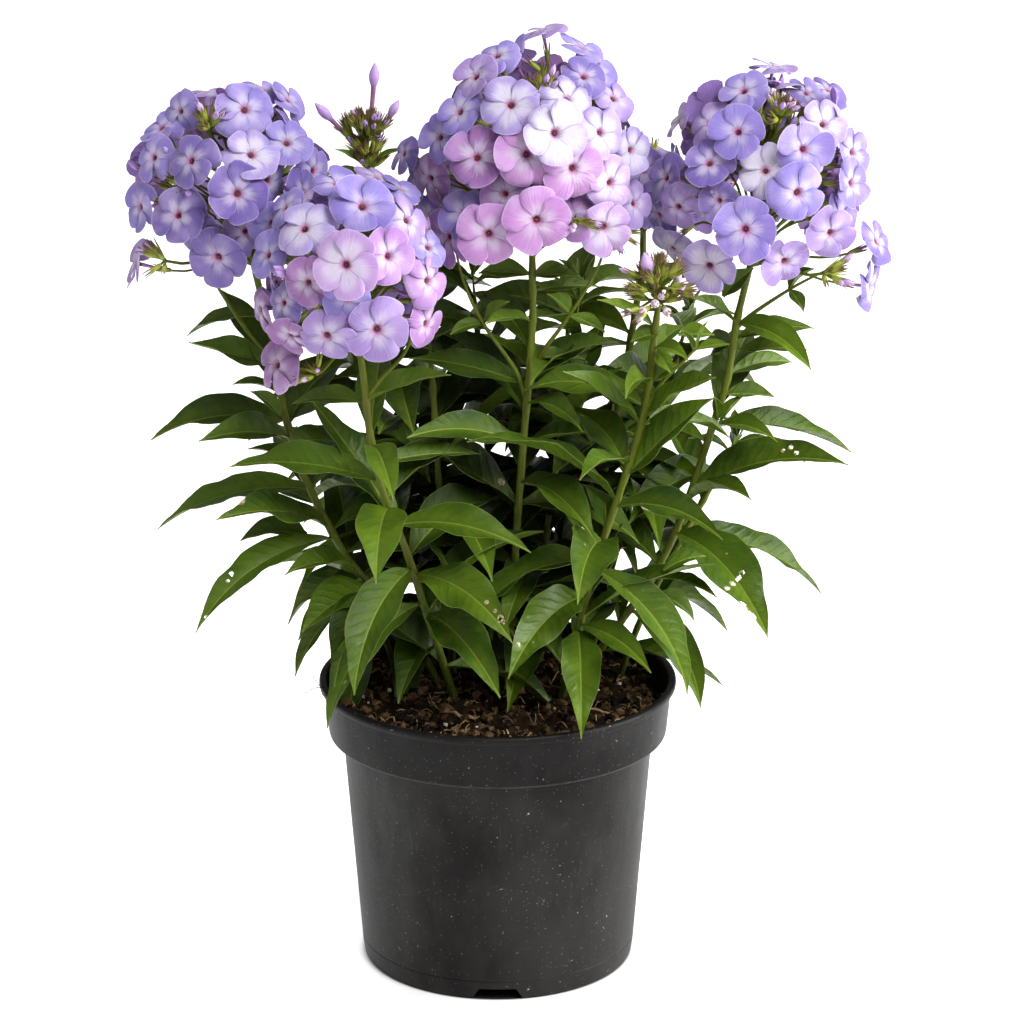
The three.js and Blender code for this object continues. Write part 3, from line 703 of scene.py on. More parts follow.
def stem_material():
    """grade runs from 0 at the foot to 1 at the top."""
    n = Nodes("stem", (0.026, 0.044, 0.0018))
    grade, _, _ = n.split(n.attribute("grade"))
    fibre = n.noise(n.drawn_out(n.place(), 0.06), 900.0)
    patch = n.noise(n.drawn_out(n.place(), 0.5), 60.0)
    n.paint(n.ramp(grade, 0.05, 0.7), (0.086, 0.112, 0.005))
    n.paint(n.ramp(fibre, 0.42, 0.7, 0.0, 0.30), (0.17, 0.20, 0.020))
    n.paint(n.ramp(patch, 0.45, 0.75, 0.0, 0.55), (0.070, 0.050, 0.010))
    n.bump(fibre, 0.0003, 0.5)
    return n.finish(Roughness=0.55, Specular_IOR_Level=0.22, Subsurface_Weight=0.08, Subsurface_Scale=0.001)


VEIN_SPACING = 6.4


def leaf_material():
    """blade holds the distance along and across in millimetres and the share of the half width. look holds
    how light the leaf is, which is its own tone with painted light high on the plant and painted shade deep
    inside and low down, how spotted it is and whether the point is on the underside."""
    n = Nodes("leaf", (0.009, 0.028, 0.0010))
    along, across, share = n.split(n.attribute("blade"))
    light, spotted, under = n.split(n.attribute("look"))
    where = n.place()
    reach = abs(across)
    wobble = n.noise(where, 90.0, 2.0)
    wave = abs(n.math("SINE", (along - reach * 1.15 + wobble * 9.0) * (math.pi / VEIN_SPACING)))
    side_vein = n.ramp(wave, 0.22, 0.0) * n.ramp(share, 1.0, 0.6)
    puff = n.ramp(wave, 0.1, 0.9) * n.ramp(share, 1.0, 0.7)
    midrib = n.ramp(reach, 0.55, 0.15)
    net = n.cells(where, 620.0, "DISTANCE_TO_EDGE")
    n.paint(light, (0.092, 0.168, 0.0060))
    n.paint(n.ramp(n.noise(where, 11.0, 1.0), 0.42, 0.62, 0.0, 0.40), (0.022, 0.066, 0.0110))
    n.paint(n.ramp(n.noise(where, 34.0, 2.0), 0.38, 0.62, 0.0, 0.55), (0.018, 0.046, 0.0020))
    n.paint(n.ramp(wobble, 0.45, 0.75, 0.0, 0.3), (0.120, 0.165, 0.006))
    n.paint(n.ramp(reach, 7.0, 0.5, 0.0, 0.32), (0.130, 0.205, 0.0080))
    n.paint(puff * 0.10, (0.100, 0.160, 0.012))
    n.paint(n.ramp(net, 0.0, 0.10, 0.12, 0.0), (0.12, 0.18, 0.02))
    n.paint(side_vein * 0.20, (0.12, 0.185, 0.020))
    n.paint(midrib * 0.70, (0.22, 0.30, 0.050))
    n.paint(n.ramp(share, 0.965, 1.0, 0.0, 0.50), (0.26, 0.31, 0.08))
    dot_size = n.ramp(n.noise(where, 60.0, 1.0), 0.52, 0.72, 0.0, 0.32) * n.math("MINIMUM", spotted, 1.0)
    dots = n.ramp(dot_size - n.cells(where, 52.0), -0.02, 0.02)
    bitten = n.ramp(spotted + net * 1.5, 2.0, 2.8)
    scarred = n.mix(n.ramp(net, 0.0, 0.2), (0.22, 0.13, 0.05), (0.62, 0.55, 0.34))
    n.paint(n.larger(dots, bitten) * 0.9, scarred)
    n.paint(under, n.mix(n.larger(midrib, side_vein) * 0.6, (0.070, 0.118, 0.008), (0.16, 0.22, 0.03)))
    # painted shade: leaves with a low light value, deep in the plant or low down, are multiplied darker
    shade = n.ramp(light, -0.9, 0.1, 0.22, 1.0)
    n.colour = n.multiply(n.colour, n.combine(shade, shade, shade))
    n.bump(n.ramp(net, 0.0, 0.25) * 0.18 + puff * 0.75 - midrib * 0.8, 0.00045, 0.5)
    return n.finish(Roughness=n.ramp(wobble, 0.2, 0.8, 0.32, 0.50), Specular_IOR_Level=0.22,
                    Subsurface_Weight=0.05, Subsurface_Scale=0.0008)


# Cells of the dust and scratches on the pot. A speck's row is scale, chance, size and strength, and a
# scratch's is angle, scale, chance and strength.
SPECKS = [(120.0, 0.10, 0.09, 0.75), (210.0, 0.14, 0.11, 0.50), (380.0, 0.20, 0.16, 0.34),
          (640.0, 0.28, 0.22, 0.24)]
SCRATCHES = [(0.3, 250.0, 0.26, 0.55), (1.4, 300.0, 0.22, 0.55), (-0.8, 220.0, 0.24, 0.50)]
SCRATCH_SHARE = 0.16  # a scratch cell's breadth as a share of its length
DUST = (0.42, 0.40, 0.37)
POT_MIDDLE_RADIUS = 0.080
HIGHLIGHT_EDGE_HEIGHT = (COLLAR_BOTTOM + 0.8) * MM


def pot_material():
    """Scuffed black plastic with pale specks and short scratches, with its collar drawn darker as painted
    shade and a painted highlight along the collar's lower edge.
    """
    n = Nodes("pot_plastic", (0.0045, 0.0037, 0.0034))
    where = n.place()
    x, y, height = n.split(where)
    cloud = n.noise(where, 14.0, 4.0)
    grain = n.noise(where, 900.0, 2.0)
    scuff = n.noise(n.drawn_out(where, 0.10), 170.0, 4.0, 0.7)
    wear = n.noise(n.drawn_out(where, 0.35), 38.0, 5.0, 0.65)
    gathered = n.ramp(n.noise(where, 16.0, 2.0), 0.35, 0.70, -0.07, 0.05)
    collar = n.ramp(height, 0.122, 0.128)
    n.paint(n.ramp(cloud, 0.3, 0.75), (0.0110, 0.0092, 0.0083))
    n.paint(n.ramp(scuff, 0.62, 0.8, 0.0, 0.30), (0.06, 0.057, 0.054))
    # painted shade: the collar is drawn darker than the body below it
    n.paint(collar * 0.65, (0.0028, 0.0024, 0.0024))

    def mark(cell, chance, size, core, strength):
        number, _, _ = n.split(cell.other("Color"))
        chosen = n.ramp(number + gathered, 1 - chance, 1.02 - chance)
        n.paint(n.ramp(cell, size, core) * chosen * strength, DUST)

    for scale, chance, size, strength in SPECKS:
        mark(n.cells(where, scale), chance, size, size * 0.3, strength)
    around = n.math("ARCTAN2", x, y * -1.0) * POT_MIDDLE_RADIUS
    for angle, scale, chance, strength in SCRATCHES:
        along = around * math.cos(angle) + height * math.sin(angle)
        side = height * math.cos(angle) - around * math.sin(angle)
        mark(n.cells(n.combine(along * SCRATCH_SHARE, side, 0.0), scale), chance, 0.060, 0.020, strength)
    # painted highlight: a pale line along the collar's lower edge, broken up by the scuffs
    edge_highlight = n.ramp(abs(height - HIGHLIGHT_EDGE_HEIGHT), 0.0010, 0.0003) * n.ramp(scuff, 0.35, 0.65, 0.25, 0.60)
    n.paint(edge_highlight, (0.050, 0.045, 0.046))
    shine = n.ramp(cloud * 0.5 + wear * 0.5, 0.36, 0.64, 0.12, 0.27)
    n.bump(grain + scuff * 0.8, 0.00012, 0.55)
    return n.finish(Roughness=n.ramp(cloud + grain * 0.3, 0.4, 0.9, 0.40, 0.56),
                    Specular_IOR_Level=shine * (1.0 - collar * 0.25))


def soil_material():
    n = Nodes("compost", (0.0015, 0.0010, 0.0005))
    lumps = n.noise(n.place(), 160.0, 5.0, 0.7)
    n.paint(n.ramp(lumps, 0.35, 0.7), (0.026, 0.013, 0.005))
    n.paint(n.ramp(n.noise(n.place(), 45.0), 0.5, 0.7, 0.0, 0.5), (0.050, 0.027, 0.010))
    n.bump(lumps, 0.0015, 0.9)
    return n.finish(Roughness=0.95, Specular_IOR_Level=0.1)


def litter_material(name, dark, light, bump=0.0006):
    """A mottled colour that also shifts from bit to bit. grade's first number is the bit's own."""
    n = Nodes(name, dark)
    bit, _, _ = n.split(n.attribute("grade"))
    grain = n.noise(n.place(), 700.0, 4.0, 0.65)
    n.paint(n.ramp(bit * 0.7 + grain * 0.5, 0.32, 1.0), light)
    n.bump(grain, bump, 0.8)
    return n.finish(Roughness=0.9, Specular_IOR_Level=0.15)


SHADOW_WAY = (-0.60, 0.80)  # where the main light throws shadows


def floor_material():
    """Pale and matt, with a painted shadow: nearly black under the pot, where the notches show it. It glows a
    little behind the pot, where the plant's shadow would fall, to light that shadow away, and far away.
    """
    n = Nodes("pale_floor", (0.02, 0.02, 0.02))
    x, y, _ = n.split(n.place())
    away = n.math("SQRT", x * x + y * y)
    shaded = x * SHADOW_WAY[0] + y * SHADOW_WAY[1]
    glow = n.larger(n.ramp(shaded, -0.03, 0.05, 0.06, 0.80), n.ramp(away, 0.9, 2.0, 0.0, 0.74))
    # painted shadow: the floor stays nearly black under the pot
    n.paint(n.ramp(away, 0.0705, 0.0735), (0.93, 0.93, 0.925))
    return n.finish(Roughness=0.9, Specular_IOR_Level=0.1, Emission_Color=(1.0, 1.0, 1.0),
                    Emission_Strength=glow * n.ramp(away, 0.070, 0.076))


# ------------------------------------------------------------------ pot and compost

def rounded(profile, corners, radius, steps=4):
    """Replaces the numbered corners of a profile by short arcs."""
    result = []
    for i, point in enumerate(profile):
        if i not in corners:
            result.append(point)
            continue
        here = np.array(point, float)
        start, end = [here + unit(near - here) * min(radius, np.linalg.norm(near - here) * 0.45)
                      for near in (np.array(profile[i - 1], float), np.array(profile[i + 1], float))]
        for t in np.linspace(0, 1, steps):
            result.append(tuple((1 - t) ** 2 * start + 2 * t * (1 - t) * here + t ** 2 * end))
    return result


FOOT_LINE = 11.0  # the height of a fine groove that runs round the pot


def pot_wall_profile():
    lip_bottom = POT_HEIGHT - LIP_HEIGHT
    floor_top = FLOOR_BOTTOM + POT_WALL
    shoulder_top = COLLAR_BOTTOM + POT_WALL
    inner_foot = FOOT_RADIUS - FOOT_WIDTH
    foot_bead = [(FOOT_RADIUS + POT_SLOPE * height, height) for height in (6, 7)]
    groove = [(FOOT_RADIUS + POT_SLOPE * FOOT_LINE + out, FOOT_LINE + rise)
              for out, rise in ((-0.1, -1.3), (-0.05, -0.7), (-0.3, 0.0), (0.05, 0.7), (0.1, 1.3))]
    profile = [
        (0, FLOOR_BOTTOM), (inner_foot, FLOOR_BOTTOM), (inner_foot, 0), (FOOT_RADIUS - 0.4, 0), *foot_bead,
        *groove,
        (SHOULDER_RADIUS, COLLAR_BOTTOM), (COLLAR_BOTTOM_RADIUS, COLLAR_BOTTOM),
        (COLLAR_TOP_RADIUS, lip_bottom), (RIM_RADIUS, lip_bottom), (RIM_RADIUS, POT_HEIGHT),
        (COLLAR_TOP_RADIUS - POT_WALL, POT_HEIGHT), (COLLAR_BOTTOM_RADIUS - POT_WALL, shoulder_top),
        (SHOULDER_RADIUS - POT_WALL, shoulder_top),
        (FOOT_RADIUS + POT_SLOPE * floor_top - POT_WALL, floor_top), (0, floor_top),
    ]
    profile = rounded(profile, range(11, 17), 1.8)  # the collar and the lip
    return rounded(profile, {2, 3}, 4.5, 7)  # the foot


def drainage_cutters():
    """The notches through the foot ring and the holes through the floor."""
    tool = Build()
    low, high, top = NOTCH_BOTTOM_WIDTH / 2, NOTCH_TOP_WIDTH / 2, NOTCH_HEIGHT
    outline = [(-low - 0.3, -2), (low + 0.3, -2), (high + 0.8, top - 0.8), (high, top), (-high, top),
               (-high - 0.8, top - 0.8)]
    count = len(outline)
    notch = [(x, y, z) for y in (-FOOT_RADIUS - 3, -FOOT_RADIUS + FOOT_WIDTH + 4) for x, z in outline]
    notch_faces = [tuple(range(count)), tuple(reversed(range(count, 2 * count)))]
    notch_faces += [(i, i + count, (i + 1) % count + count, (i + 1) % count) for i in range(count)]
    hole, hole_faces = turned([(0, 5), (HOLE_RADIUS, 5), (HOLE_RADIUS, 13), (0, 13)], 32)
    for k in range(NOTCHES):
        turn = FULL_TURN * k / NOTCHES
        tool.add(about_z(notch, turn), notch_faces)
        tool.add(about_z(hole + [0, -HOLE_DISTANCE, 0], turn), hole_faces)
    return tool


def make_pot(material):
    """The pot is turned in fine steps, and its notches and drain holes are cut out of it."""
    sharp = 40
    build = Build()
    build.add(*turned(pot_wall_profile(), POT_SIDES))
    pot = build.piece("nursery_pot", material, "pot_plastic", ["pot"], sharp)
    cutter = new_object("cutter", drainage_cutters().mesh("cutter"))
    modifier = pot.modifiers.new("drainage", "BOOLEAN")
    modifier.operation, modifier.solver, modifier.object = "DIFFERENCE", "EXACT", cutter
    bpy.context.view_layer.update()
    pot_with_holes = bpy.data.meshes.new_from_object(pot.evaluated_get(bpy.context.evaluated_depsgraph_get()))
    pot.modifiers.clear()
    pot.data = pot_with_holes
    pot_with_holes.set_sharp_from_angle(angle=math.radians(sharp))
    bpy.data.objects.remove(cutter)


def soil_height(x, y):
    """The compost's surface: a low mound with clods and dips."""
    radius = np.hypot(x, y)
    base = np.interp(radius, [0, MOUND_RADIUS, SOIL_RADIUS], [SOIL_MOUND, SOIL_MOUND, SOIL_EDGE])
    rough = (1.3 * np.sin(x * 0.11 + 1.3) * np.cos(y * 0.13) + 0.9 * np.sin(x * 0.31 + y * 0.22)
             + 0.6 * np.sin(x * 0.7 - y * 0.55 + 2) + 0.4 * np.sin(x * 1.3 + y * 1.1))
    return base - 1.0 + rough * np.clip((SOIL_RADIUS + 2 - radius) / 8, 0.25, 1)


SOIL_RINGS = 60
SOIL_SIDES = 200
SOIL_GAP = 0.3  # between the compost and the pot


def make_soil(material):
    """One closed plug whose top is a fine rough grid."""
    angles = np.linspace(0, FULL_TURN, SOIL_SIDES, endpoint=False)
    radii = np.linspace(0, 1, SOIL_RINGS) ** 0.8 * (COLLAR_BOTTOM_RADIUS + 1.4 - POT_WALL)
    shoulder = COLLAR_BOTTOM + POT_WALL + SOIL_GAP
    floor_top = FLOOR_BOTTOM + POT_WALL + SOIL_GAP
    lower = [(COLLAR_BOTTOM_RADIUS - POT_WALL, shoulder), (SHOULDER_RADIUS - POT_WALL - SOIL_GAP, shoulder),
             (FOOT_RADIUS + POT_SLOPE * floor_top - POT_WALL - SOIL_GAP, floor_top)]
    rings = [[(0, 0, float(soil_height(0.0, 0.0)))]]
    for radius, height in [(radius, None) for radius in radii[1:]] + lower:
        x, y = radius * np.cos(angles), radius * np.sin(angles)
        if height is None:
            height = soil_height(x, y) + noise_source.normal(0, 0.35, SOIL_SIDES)
        rings.append(np.column_stack([x, y, np.broadcast_to(height, SOIL_SIDES)]))
    points = np.vstack(rings)
    last = len(points) - SOIL_SIDES
    faces = [(0, 1 + k, 1 + (k + 1) % SOIL_SIDES) for k in range(SOIL_SIDES)]
    for start in range(1, last, SOIL_SIDES):
        for k in range(SOIL_SIDES):
            a, b = start + k, start + (k + 1) % SOIL_SIDES
            faces.append((a, a + SOIL_SIDES, b + SOIL_SIDES, b))
    faces.append(tuple(reversed(range(last, last + SOIL_SIDES))))
    build = Build()
    build.add(points, faces)
    build.piece("compost_surface", material, "compost", ["compost"], sharp=80)


LITTER_RADIUS = 87.0
CRUMBS = 1450
CRUMB_SIZES = [0.6, 0.8, 1.0, 1.4, 1.9, 2.6]
FIBRES = 330
FIBRES_PER_TWIG = 22
FIBRE_SHAPE = np.array([0.4, 0.8, 1, 1, 1, 1, 0.9, 0.7, 0.3])  # its thickness from end to end
PERLITE_GRAINS = 24
# Fibres that stick out over the rim at the left.
RIM_HAIRS = [
    [(-82, -20, 147), (-90, -24, 157), (-97, -26, 158), (-103, -27, 154)],
    [(-84, -26, 147), (-91, -30, 158), (-96, -31, 165), (-98, -31, 170)],
    [(-80, -34, 147), (-87, -38, 157), (-93, -40, 160)],
]


def lump(radius, roughness):
    """A small uneven closed lump."""
    profile = [(0, -radius), (radius * 0.75, -radius * 0.6), (radius, 0), (radius * 0.7, radius * 0.65),
               (0, radius)]
    points, faces = turned(profile, 7)
    stretch = noise_source.uniform(0.6, 1.25, 3)
    return points * stretch + noise_source.normal(0, radius * roughness, points.shape), faces


def scatter_place(inner, outer):
    """A place on the compost between two radii."""
    angle = random_source.uniform(0, FULL_TURN)
    radius = math.sqrt(random_source.uniform(inner ** 2, outer ** 2))
    return radius * math.cos(angle), radius * math.sin(angle)


def front_edge_place():
    """A place near the front of the rim, where the loose fibres gather."""
    angle = math.radians(random_source.uniform(195, 345))
    radius = random_source.uniform(68, LITTER_RADIUS)
    return radius * math.cos(angle), radius * math.sin(angle)


def scatter_lumps(count, room, draw_size, roughness, lift):
    """Lumps on the compost. lift is how far their middles are above it, as a share of their size."""
    build = Build()
    for _ in range(count):
        x, y = scatter_place(*room)
        size = draw_size()
        points, faces = lump(size, roughness)
        place = [x, y, soil_height(x, y) + lift * size]
        build.add(points + place, faces, grade=[random_source.random(), 0, 0])
    return build


def fibre_path(x, y, length):
    """A curved path that starts at a place on the compost and follows its surface."""
    heading = random_source.uniform(0, FULL_TURN)
    bend = random_source.uniform(-1.0, 1.0)
    path = []
    steps = len(FIBRE_SHAPE) - 1
    for t in np.linspace(0, 1, steps + 1):
        x += math.cos(heading + bend * t) * length / steps
        y += math.sin(heading + bend * t) * length / steps
        shrink = min(1.0, (LITTER_RADIUS + 0.5) / math.hypot(x, y))
        inside_x, inside_y = x * shrink, y * shrink
        arch = 1.8 * math.sin(math.pi * t) * random_source.uniform(0.6, 1.0)
        path.append((inside_x, inside_y, soil_height(inside_x, inside_y) + 0.7 + arch))
    return path


def make_litter():
    """The loose crumbs, fibres, twigs and white perlite grains on the compost."""
    crumbs = scatter_lumps(CRUMBS, (0, LITTER_RADIUS), lambda: random_source.choice(CRUMB_SIZES), 0.32, 0.2)
    fibres = Build()
    for number in range(FIBRES):
        x, y = scatter_place(10, LITTER_RADIUS) if number % 3 else front_edge_place()
        twig = number % FIBRES_PER_TWIG == 0
        path = fibre_path(x, y, random_source.uniform(14, 24) if twig else random_source.uniform(3, 15))
        thickness = random_source.uniform(0.50, 0.85) if twig else random_source.uniform(0.13, 0.42)
        points, faces = tube(path, thickness * FIBRE_SHAPE, 5)
        fibres.add(points, faces, grade=[random_source.random(), 0, 0])
    perlite = scatter_lumps(PERLITE_GRAINS, (5, 86), lambda: random_source.uniform(0.5, 1.3), 0.16, 0.7)
    for hair in RIM_HAIRS:
        points, faces = tube(spline(hair, 12), np.linspace(0.32, 0.14, 12), 5)
        fibres.add(points, faces, grade=[0.15, 0, 0])
    for build, name, material, dark, light in (
            (crumbs, "compost_crumbs", "crumb", (0.0015, 0.0008, 0.0004), (0.135, 0.078, 0.034)),
            (fibres, "compost_fibres", "peat_fibre", (0.010, 0.005, 0.002), (0.50, 0.33, 0.18)),
            (perlite, "perlite_grains", "perlite", (0.45, 0.43, 0.38), (0.85, 0.83, 0.78))):
        build.piece(name, litter_material(material, dark, light), "compost")


# ------------------------------------------------------------------ stems

SHOOT_TIP = 0.3  # how thin a shoot's end is, as a share of its full thickness


def add_stem(build, path, foot_radius, top_radius, joints, seed, tip_share=0.0):
    """A tapered stem that swells a little where leaves join it. With a tip share it thins out at its end."""
    share = np.linspace(0, 1, len(path))
    radii = foot_radius + (top_radius - foot_radius) * share
    for joint in joints:
        radii = np.maximum(radii, foot_radius + 0.5 * np.exp(-((path[:, 2] - joint) / 2.6) ** 2) - 0.45)
    if tip_share:
        radii *= np.clip((1 - share) / tip_share, SHOOT_TIP, 1)
    build.add_tube(path, radii, 14, share, seed)


def add_stalk(build, path, thick, thin, sides, seed, low=0.6):
    """A thin green stalk that tapers along a path. low is how green its foot is."""
    count = len(path)
    build.add_tube(path, np.linspace(thick, thin, count), sides, np.linspace(low, 1, count), seed)


# ------------------------------------------------------------------ leaves

LEAF_THICKNESS = 0.30
# How many rows of points a leaf has from its base to its tip, and how many columns across.
LEAF_GRID = 34, 13
BITTEN_GRID = 92, 25
SPRIG_GRID = 20, 9
FILLING_GRID = 17, 9
TIP_GRID = 14, 7
# painted shade: leaves are drawn darker towards the plant's axis
DEEP_SHADE = 1.3  # how much less light a leaf's look has at the plant's axis


def broad(leaf):
    """A listed leaf's width is what shows. A leaf that grows sideways is really broader, and rolled to face
    the viewer, so this gives the real leaf and its roll."""
    sideways = math.cos(math.radians(leaf.azimuth))
    full = max(leaf.width, min(25.0, 0.5 * leaf.width + 0.15 * leaf.length))
    width = leaf.width + (full - leaf.width) * abs(sideways)
    shown = math.degrees(math.asin(min(0.98, leaf.width / full)))
    return leaf._replace(width=width), max(0.0, min(42.0, shown - CAMERA_PITCH)) * sideways


def half_widths(share, width):
    """Half the blade's width at shares of its length."""
    belly = np.sin(np.pi * np.clip(share, 0, 1) ** 0.84) ** 1.15
    stalk = 0.85 * np.exp(-share / 0.05) + 0.28
    return np.maximum(0.5 * width * belly, stalk)


def leaf_grids(base, leaf, rows, t, half, character):
    """Top and bottom grids of a leaf that leaves base, rises and droops, with its blade's waves and fold."""
    phase = character["phase"]
    top, normal = np.zeros((2, rows, len(t), 3))
    place = np.array(base, float)
    for r, share in enumerate(np.linspace(0, 1, rows)):
        slope = leaf.rise - leaf.droop * share
        heading = leaf.azimuth + character["sweep"] * (share - 0.3) * share
        level, upright = direction(heading + 90, 0), direction(heading, slope + 90)
        roll = math.radians(character["roll"] + character["twist"] * share)
        across = level * math.cos(roll) + upright * math.sin(roll)
        lift = upright * math.cos(roll) - level * math.sin(roll)
        along = share * leaf.length
        x = t * half[r] * (1 + 0.05 * np.sin(along * 0.26 + phase + 1.9 * np.sign(t)))
        fold = character["fold"] * np.abs(x) - 0.012 * x ** 2 * character["curl"]
        groove = -0.35 * np.exp(-(x / 0.7) ** 2)
        veins = np.cos(FULL_TURN * (along - 1.15 * np.abs(x)) / VEIN_SPACING)
        quilt = -0.06 * veins * np.minimum(np.abs(x) / 2, 1)
        wave = character["wave"] * np.abs(t) ** 2 * np.sin(along * 0.17 + phase + 2.1 * np.sign(t))
        ripple = 0.35 * np.abs(t) ** 3 * np.sin(along * 0.42 + 1.7 * phase + np.sign(t))
        height = fold + groove + quilt + (wave + ripple) * np.sin(math.pi * share)
        top[r] = place + x[:, None] * across + height[:, None] * lift
        normal[r] = lift
        place = place + direction(heading, slope - leaf.droop / (rows - 1) / 2) * (leaf.length / (rows - 1))
    return top, top - normal * LEAF_THICKNESS


def depth_in_plant(points):
    """How far inside the plant points are, which is painted as shade on their leaves: 1 at its axis times
    DEEP_SHADE, 0 outside, in front and below the flowers.
    """
    x, y, z = points.T
    inside = np.clip(1.35 - np.hypot((x + 8) / 80, (y - 25) / 70), 0, 1)
    return DEEP_SHADE * inside * np.clip((y + 45) / 50, 0, 1) * np.clip((380 - z) / 110, 0, 1)


def add_leaf(build, base, leaf, grid, character, bites=()):
    """Adds one leaf of a grid's rows and columns, with holes and scars where it is bitten."""
    rows, columns = grid
    t, share = crowded(columns), np.linspace(0, 1, rows)
    half = half_widths(share, leaf.width)
    top, bottom = leaf_grids(base, leaf, rows, t, half, character)
    kept = np.ones((rows - 1, columns - 1), bool)
    middle = (top[:-1, :-1] + top[1:, 1:]) / 2
    scar = np.zeros(grid)
    for along, side, hole, scarred in bites:
        centre = top[int(along * (rows - 1)), int((side + 1) / 2 * (columns - 1))]
        ragged = 1 + 0.35 * np.sin(middle[..., 0] * 2.3 + middle[..., 2] * 3.1)
        kept &= np.linalg.norm(middle - centre, axis=2) > hole * ragged
        scar = np.maximum(scar, 3 * np.clip(1.6 - np.linalg.norm(top - centre, axis=2) / scarred, 0, 1))
    points, faces, used = shell(top, bottom, kept)
    blade = np.stack([np.repeat(share * leaf.length, columns), np.outer(half, t).ravel(),
                      np.tile(np.abs(t), rows)], axis=1)
    under = np.repeat([0.0, 1.0], rows * columns)[used]
    spots = np.tile(character["spots"] + scar.ravel(), 2)[used]
    look = np.stack([character["light"] - depth_in_plant(points), spots, under], axis=1)
    build.add(points, faces, blade=np.tile(blade, (2, 1))[used], look=look)


def leaf_character(leaf, source):
    """What makes each leaf its own: how it sweeps, rolls, folds, waves and colours."""
    ranges = {"sweep": (-14, 14), "roll": (-10, 10), "twist": (-22, 22), "fold": (0.42, 0.85),
              "curl": (0.3, 1.2), "wave": (1.0, 2.8), "phase": (0, 6.28), "light": (0.02, 0.82)}
    character = {name: source.uniform(*ends) for name, ends in ranges.items()}
    character["wave"] *= min(leaf.width / 20, 1.0)
    character["spots"] = source.choice([0, 0, 0.5, 1.0])
    return character


def make_leaves(material, paths):
    """The listed leaves: one piece for each CAD leaf, and one for a stem's further leaves."""
    source = random.Random(21)
    further = {}
    for leaf in LEAVES:
        base = at_height(paths[leaf.stem], leaf.height) + direction(leaf.azimuth, leaf.rise) * 1.6
        build = Build() if leaf.node else further.setdefault(leaf.stem, Build())
        character = leaf_character(leaf, source)
        # painted light: listed leaves high on the plant are drawn lighter
        if leaf.height > 300:
            character["light"] += 0.25
        leaf, roll = broad(leaf)
        character["roll"] = roll + character["roll"] * 0.5
        bites = BITES.get((leaf.stem, leaf.node), ())
        add_leaf(build, base, leaf, BITTEN_GRID if bites else LEAF_GRID, character, bites)
        if leaf.node:
            label = f"{leaf.stem}_{leaf.node:02d}"
            build.piece(f"blade_{label}", material, "leaf_green", [f"leaf_{label}"])
    for stem, build in further.items():
        build.piece(f"blades_small_{stem}", material, "leaf_green")


def make_sprigs(material):
    """The small leaves that are listed by base and tip."""
    source = random.Random(33)
    build = Build()
    for base, tip, width, light in SPRIGS:
        span = np.subtract(tip, base).astype(float)
        reach = np.linalg.norm(span)
        azimuth = math.degrees(math.atan2(span[1], span[0]))
        droop = source.uniform(10, 45)
        rise = math.degrees(math.asin(span[2] / reach)) + droop / 2
        leaf = Leaf("", 0, 0, azimuth, rise, droop, reach * 1.03, width)
        character = leaf_character(leaf, source)
        character["light"] = light
        character["roll"] += 34 * math.cos(math.radians(azimuth))
        add_leaf(build, base, leaf, SPRIG_GRID, character)
    build.piece("blades_sprigs", material, "leaf_green")


FILL_LOWEST = 160.0
FILL_SPACING = 17.0
FILL_TURN = 90 + 11  # from one pair of leaves to the next
FRONT_DEPTH = 16.0  # stems nearer the camera than this have no filling leaves on their front
FRONT_AZIMUTHS = 196.0, 344.0
LISTED_ROOM = 10.0, 40.0  # the height and the turn that a listed leaf keeps free on its stem
ROOM_X, ROOM_Y = 205.0, 128.0  # how far a filling leaf may reach from the pot's axis
TIP_LEAVES = 6


def fill_joints(stem, top_height):
    """Heights of a stem's leaf pairs with the turn of each pair."""
    joints, height, turn = [], FILL_LOWEST + 5 * (len(stem) % 4), 35.0 * len(stem)
    while height < top_height - 16:
        joints.append((height, turn % 180))
        height += FILL_SPACING
        turn += FILL_TURN
    return joints


def has_room(stem, height, side, azimuth, place):
    """False for a filling leaf that has dropped off, that would grow out in front of the stems and leaves
    that show, or that would grow where the stem has a listed leaf."""
    rise, turn = LISTED_ROOM
    dropped = (height, side) in BARE_JOINTS.get(stem, ())
    in_front = place[1] < FRONT_DEPTH and FRONT_AZIMUTHS[0] < azimuth % 360 < FRONT_AZIMUTHS[1]
    beside_listed = any(leaf.stem == stem and abs(leaf.height - height) < rise
                        and abs((leaf.azimuth - azimuth + 180) % 360 - 180) < turn for leaf in LEAVES)
    return not (dropped or in_front or beside_listed)


def fits_box(place, leaf):
    """False if a leaf's tip would leave the room that the CAD model's box leaves it."""
    tip = place + direction(leaf.azimuth, leaf.rise - leaf.droop / 2) * leaf.length * 0.95
    return abs(tip[0]) <= ROOM_X and abs(tip[1]) <= ROOM_Y


def filling_leaf(stem, path, height, azimuth, source):
    """A leaf sized for its height: longest in the lower middle of the stem and short below the flowers."""
    share = (height - FILL_LOWEST) / (path[-1, 2] - FILL_LOWEST)
    length = (44 + 40 * math.sin(math.pi * min(1, 0.25 + 0.7 * share))) * source.uniform(0.82, 1.08)
    width = length * source.uniform(0.24, 0.32)
    rise, droop = source.uniform(-5, 62), source.uniform(30, 95) * (1 - 0.4 * share)
    return Leaf(stem, 0, height, azimuth, rise, droop, length, width)


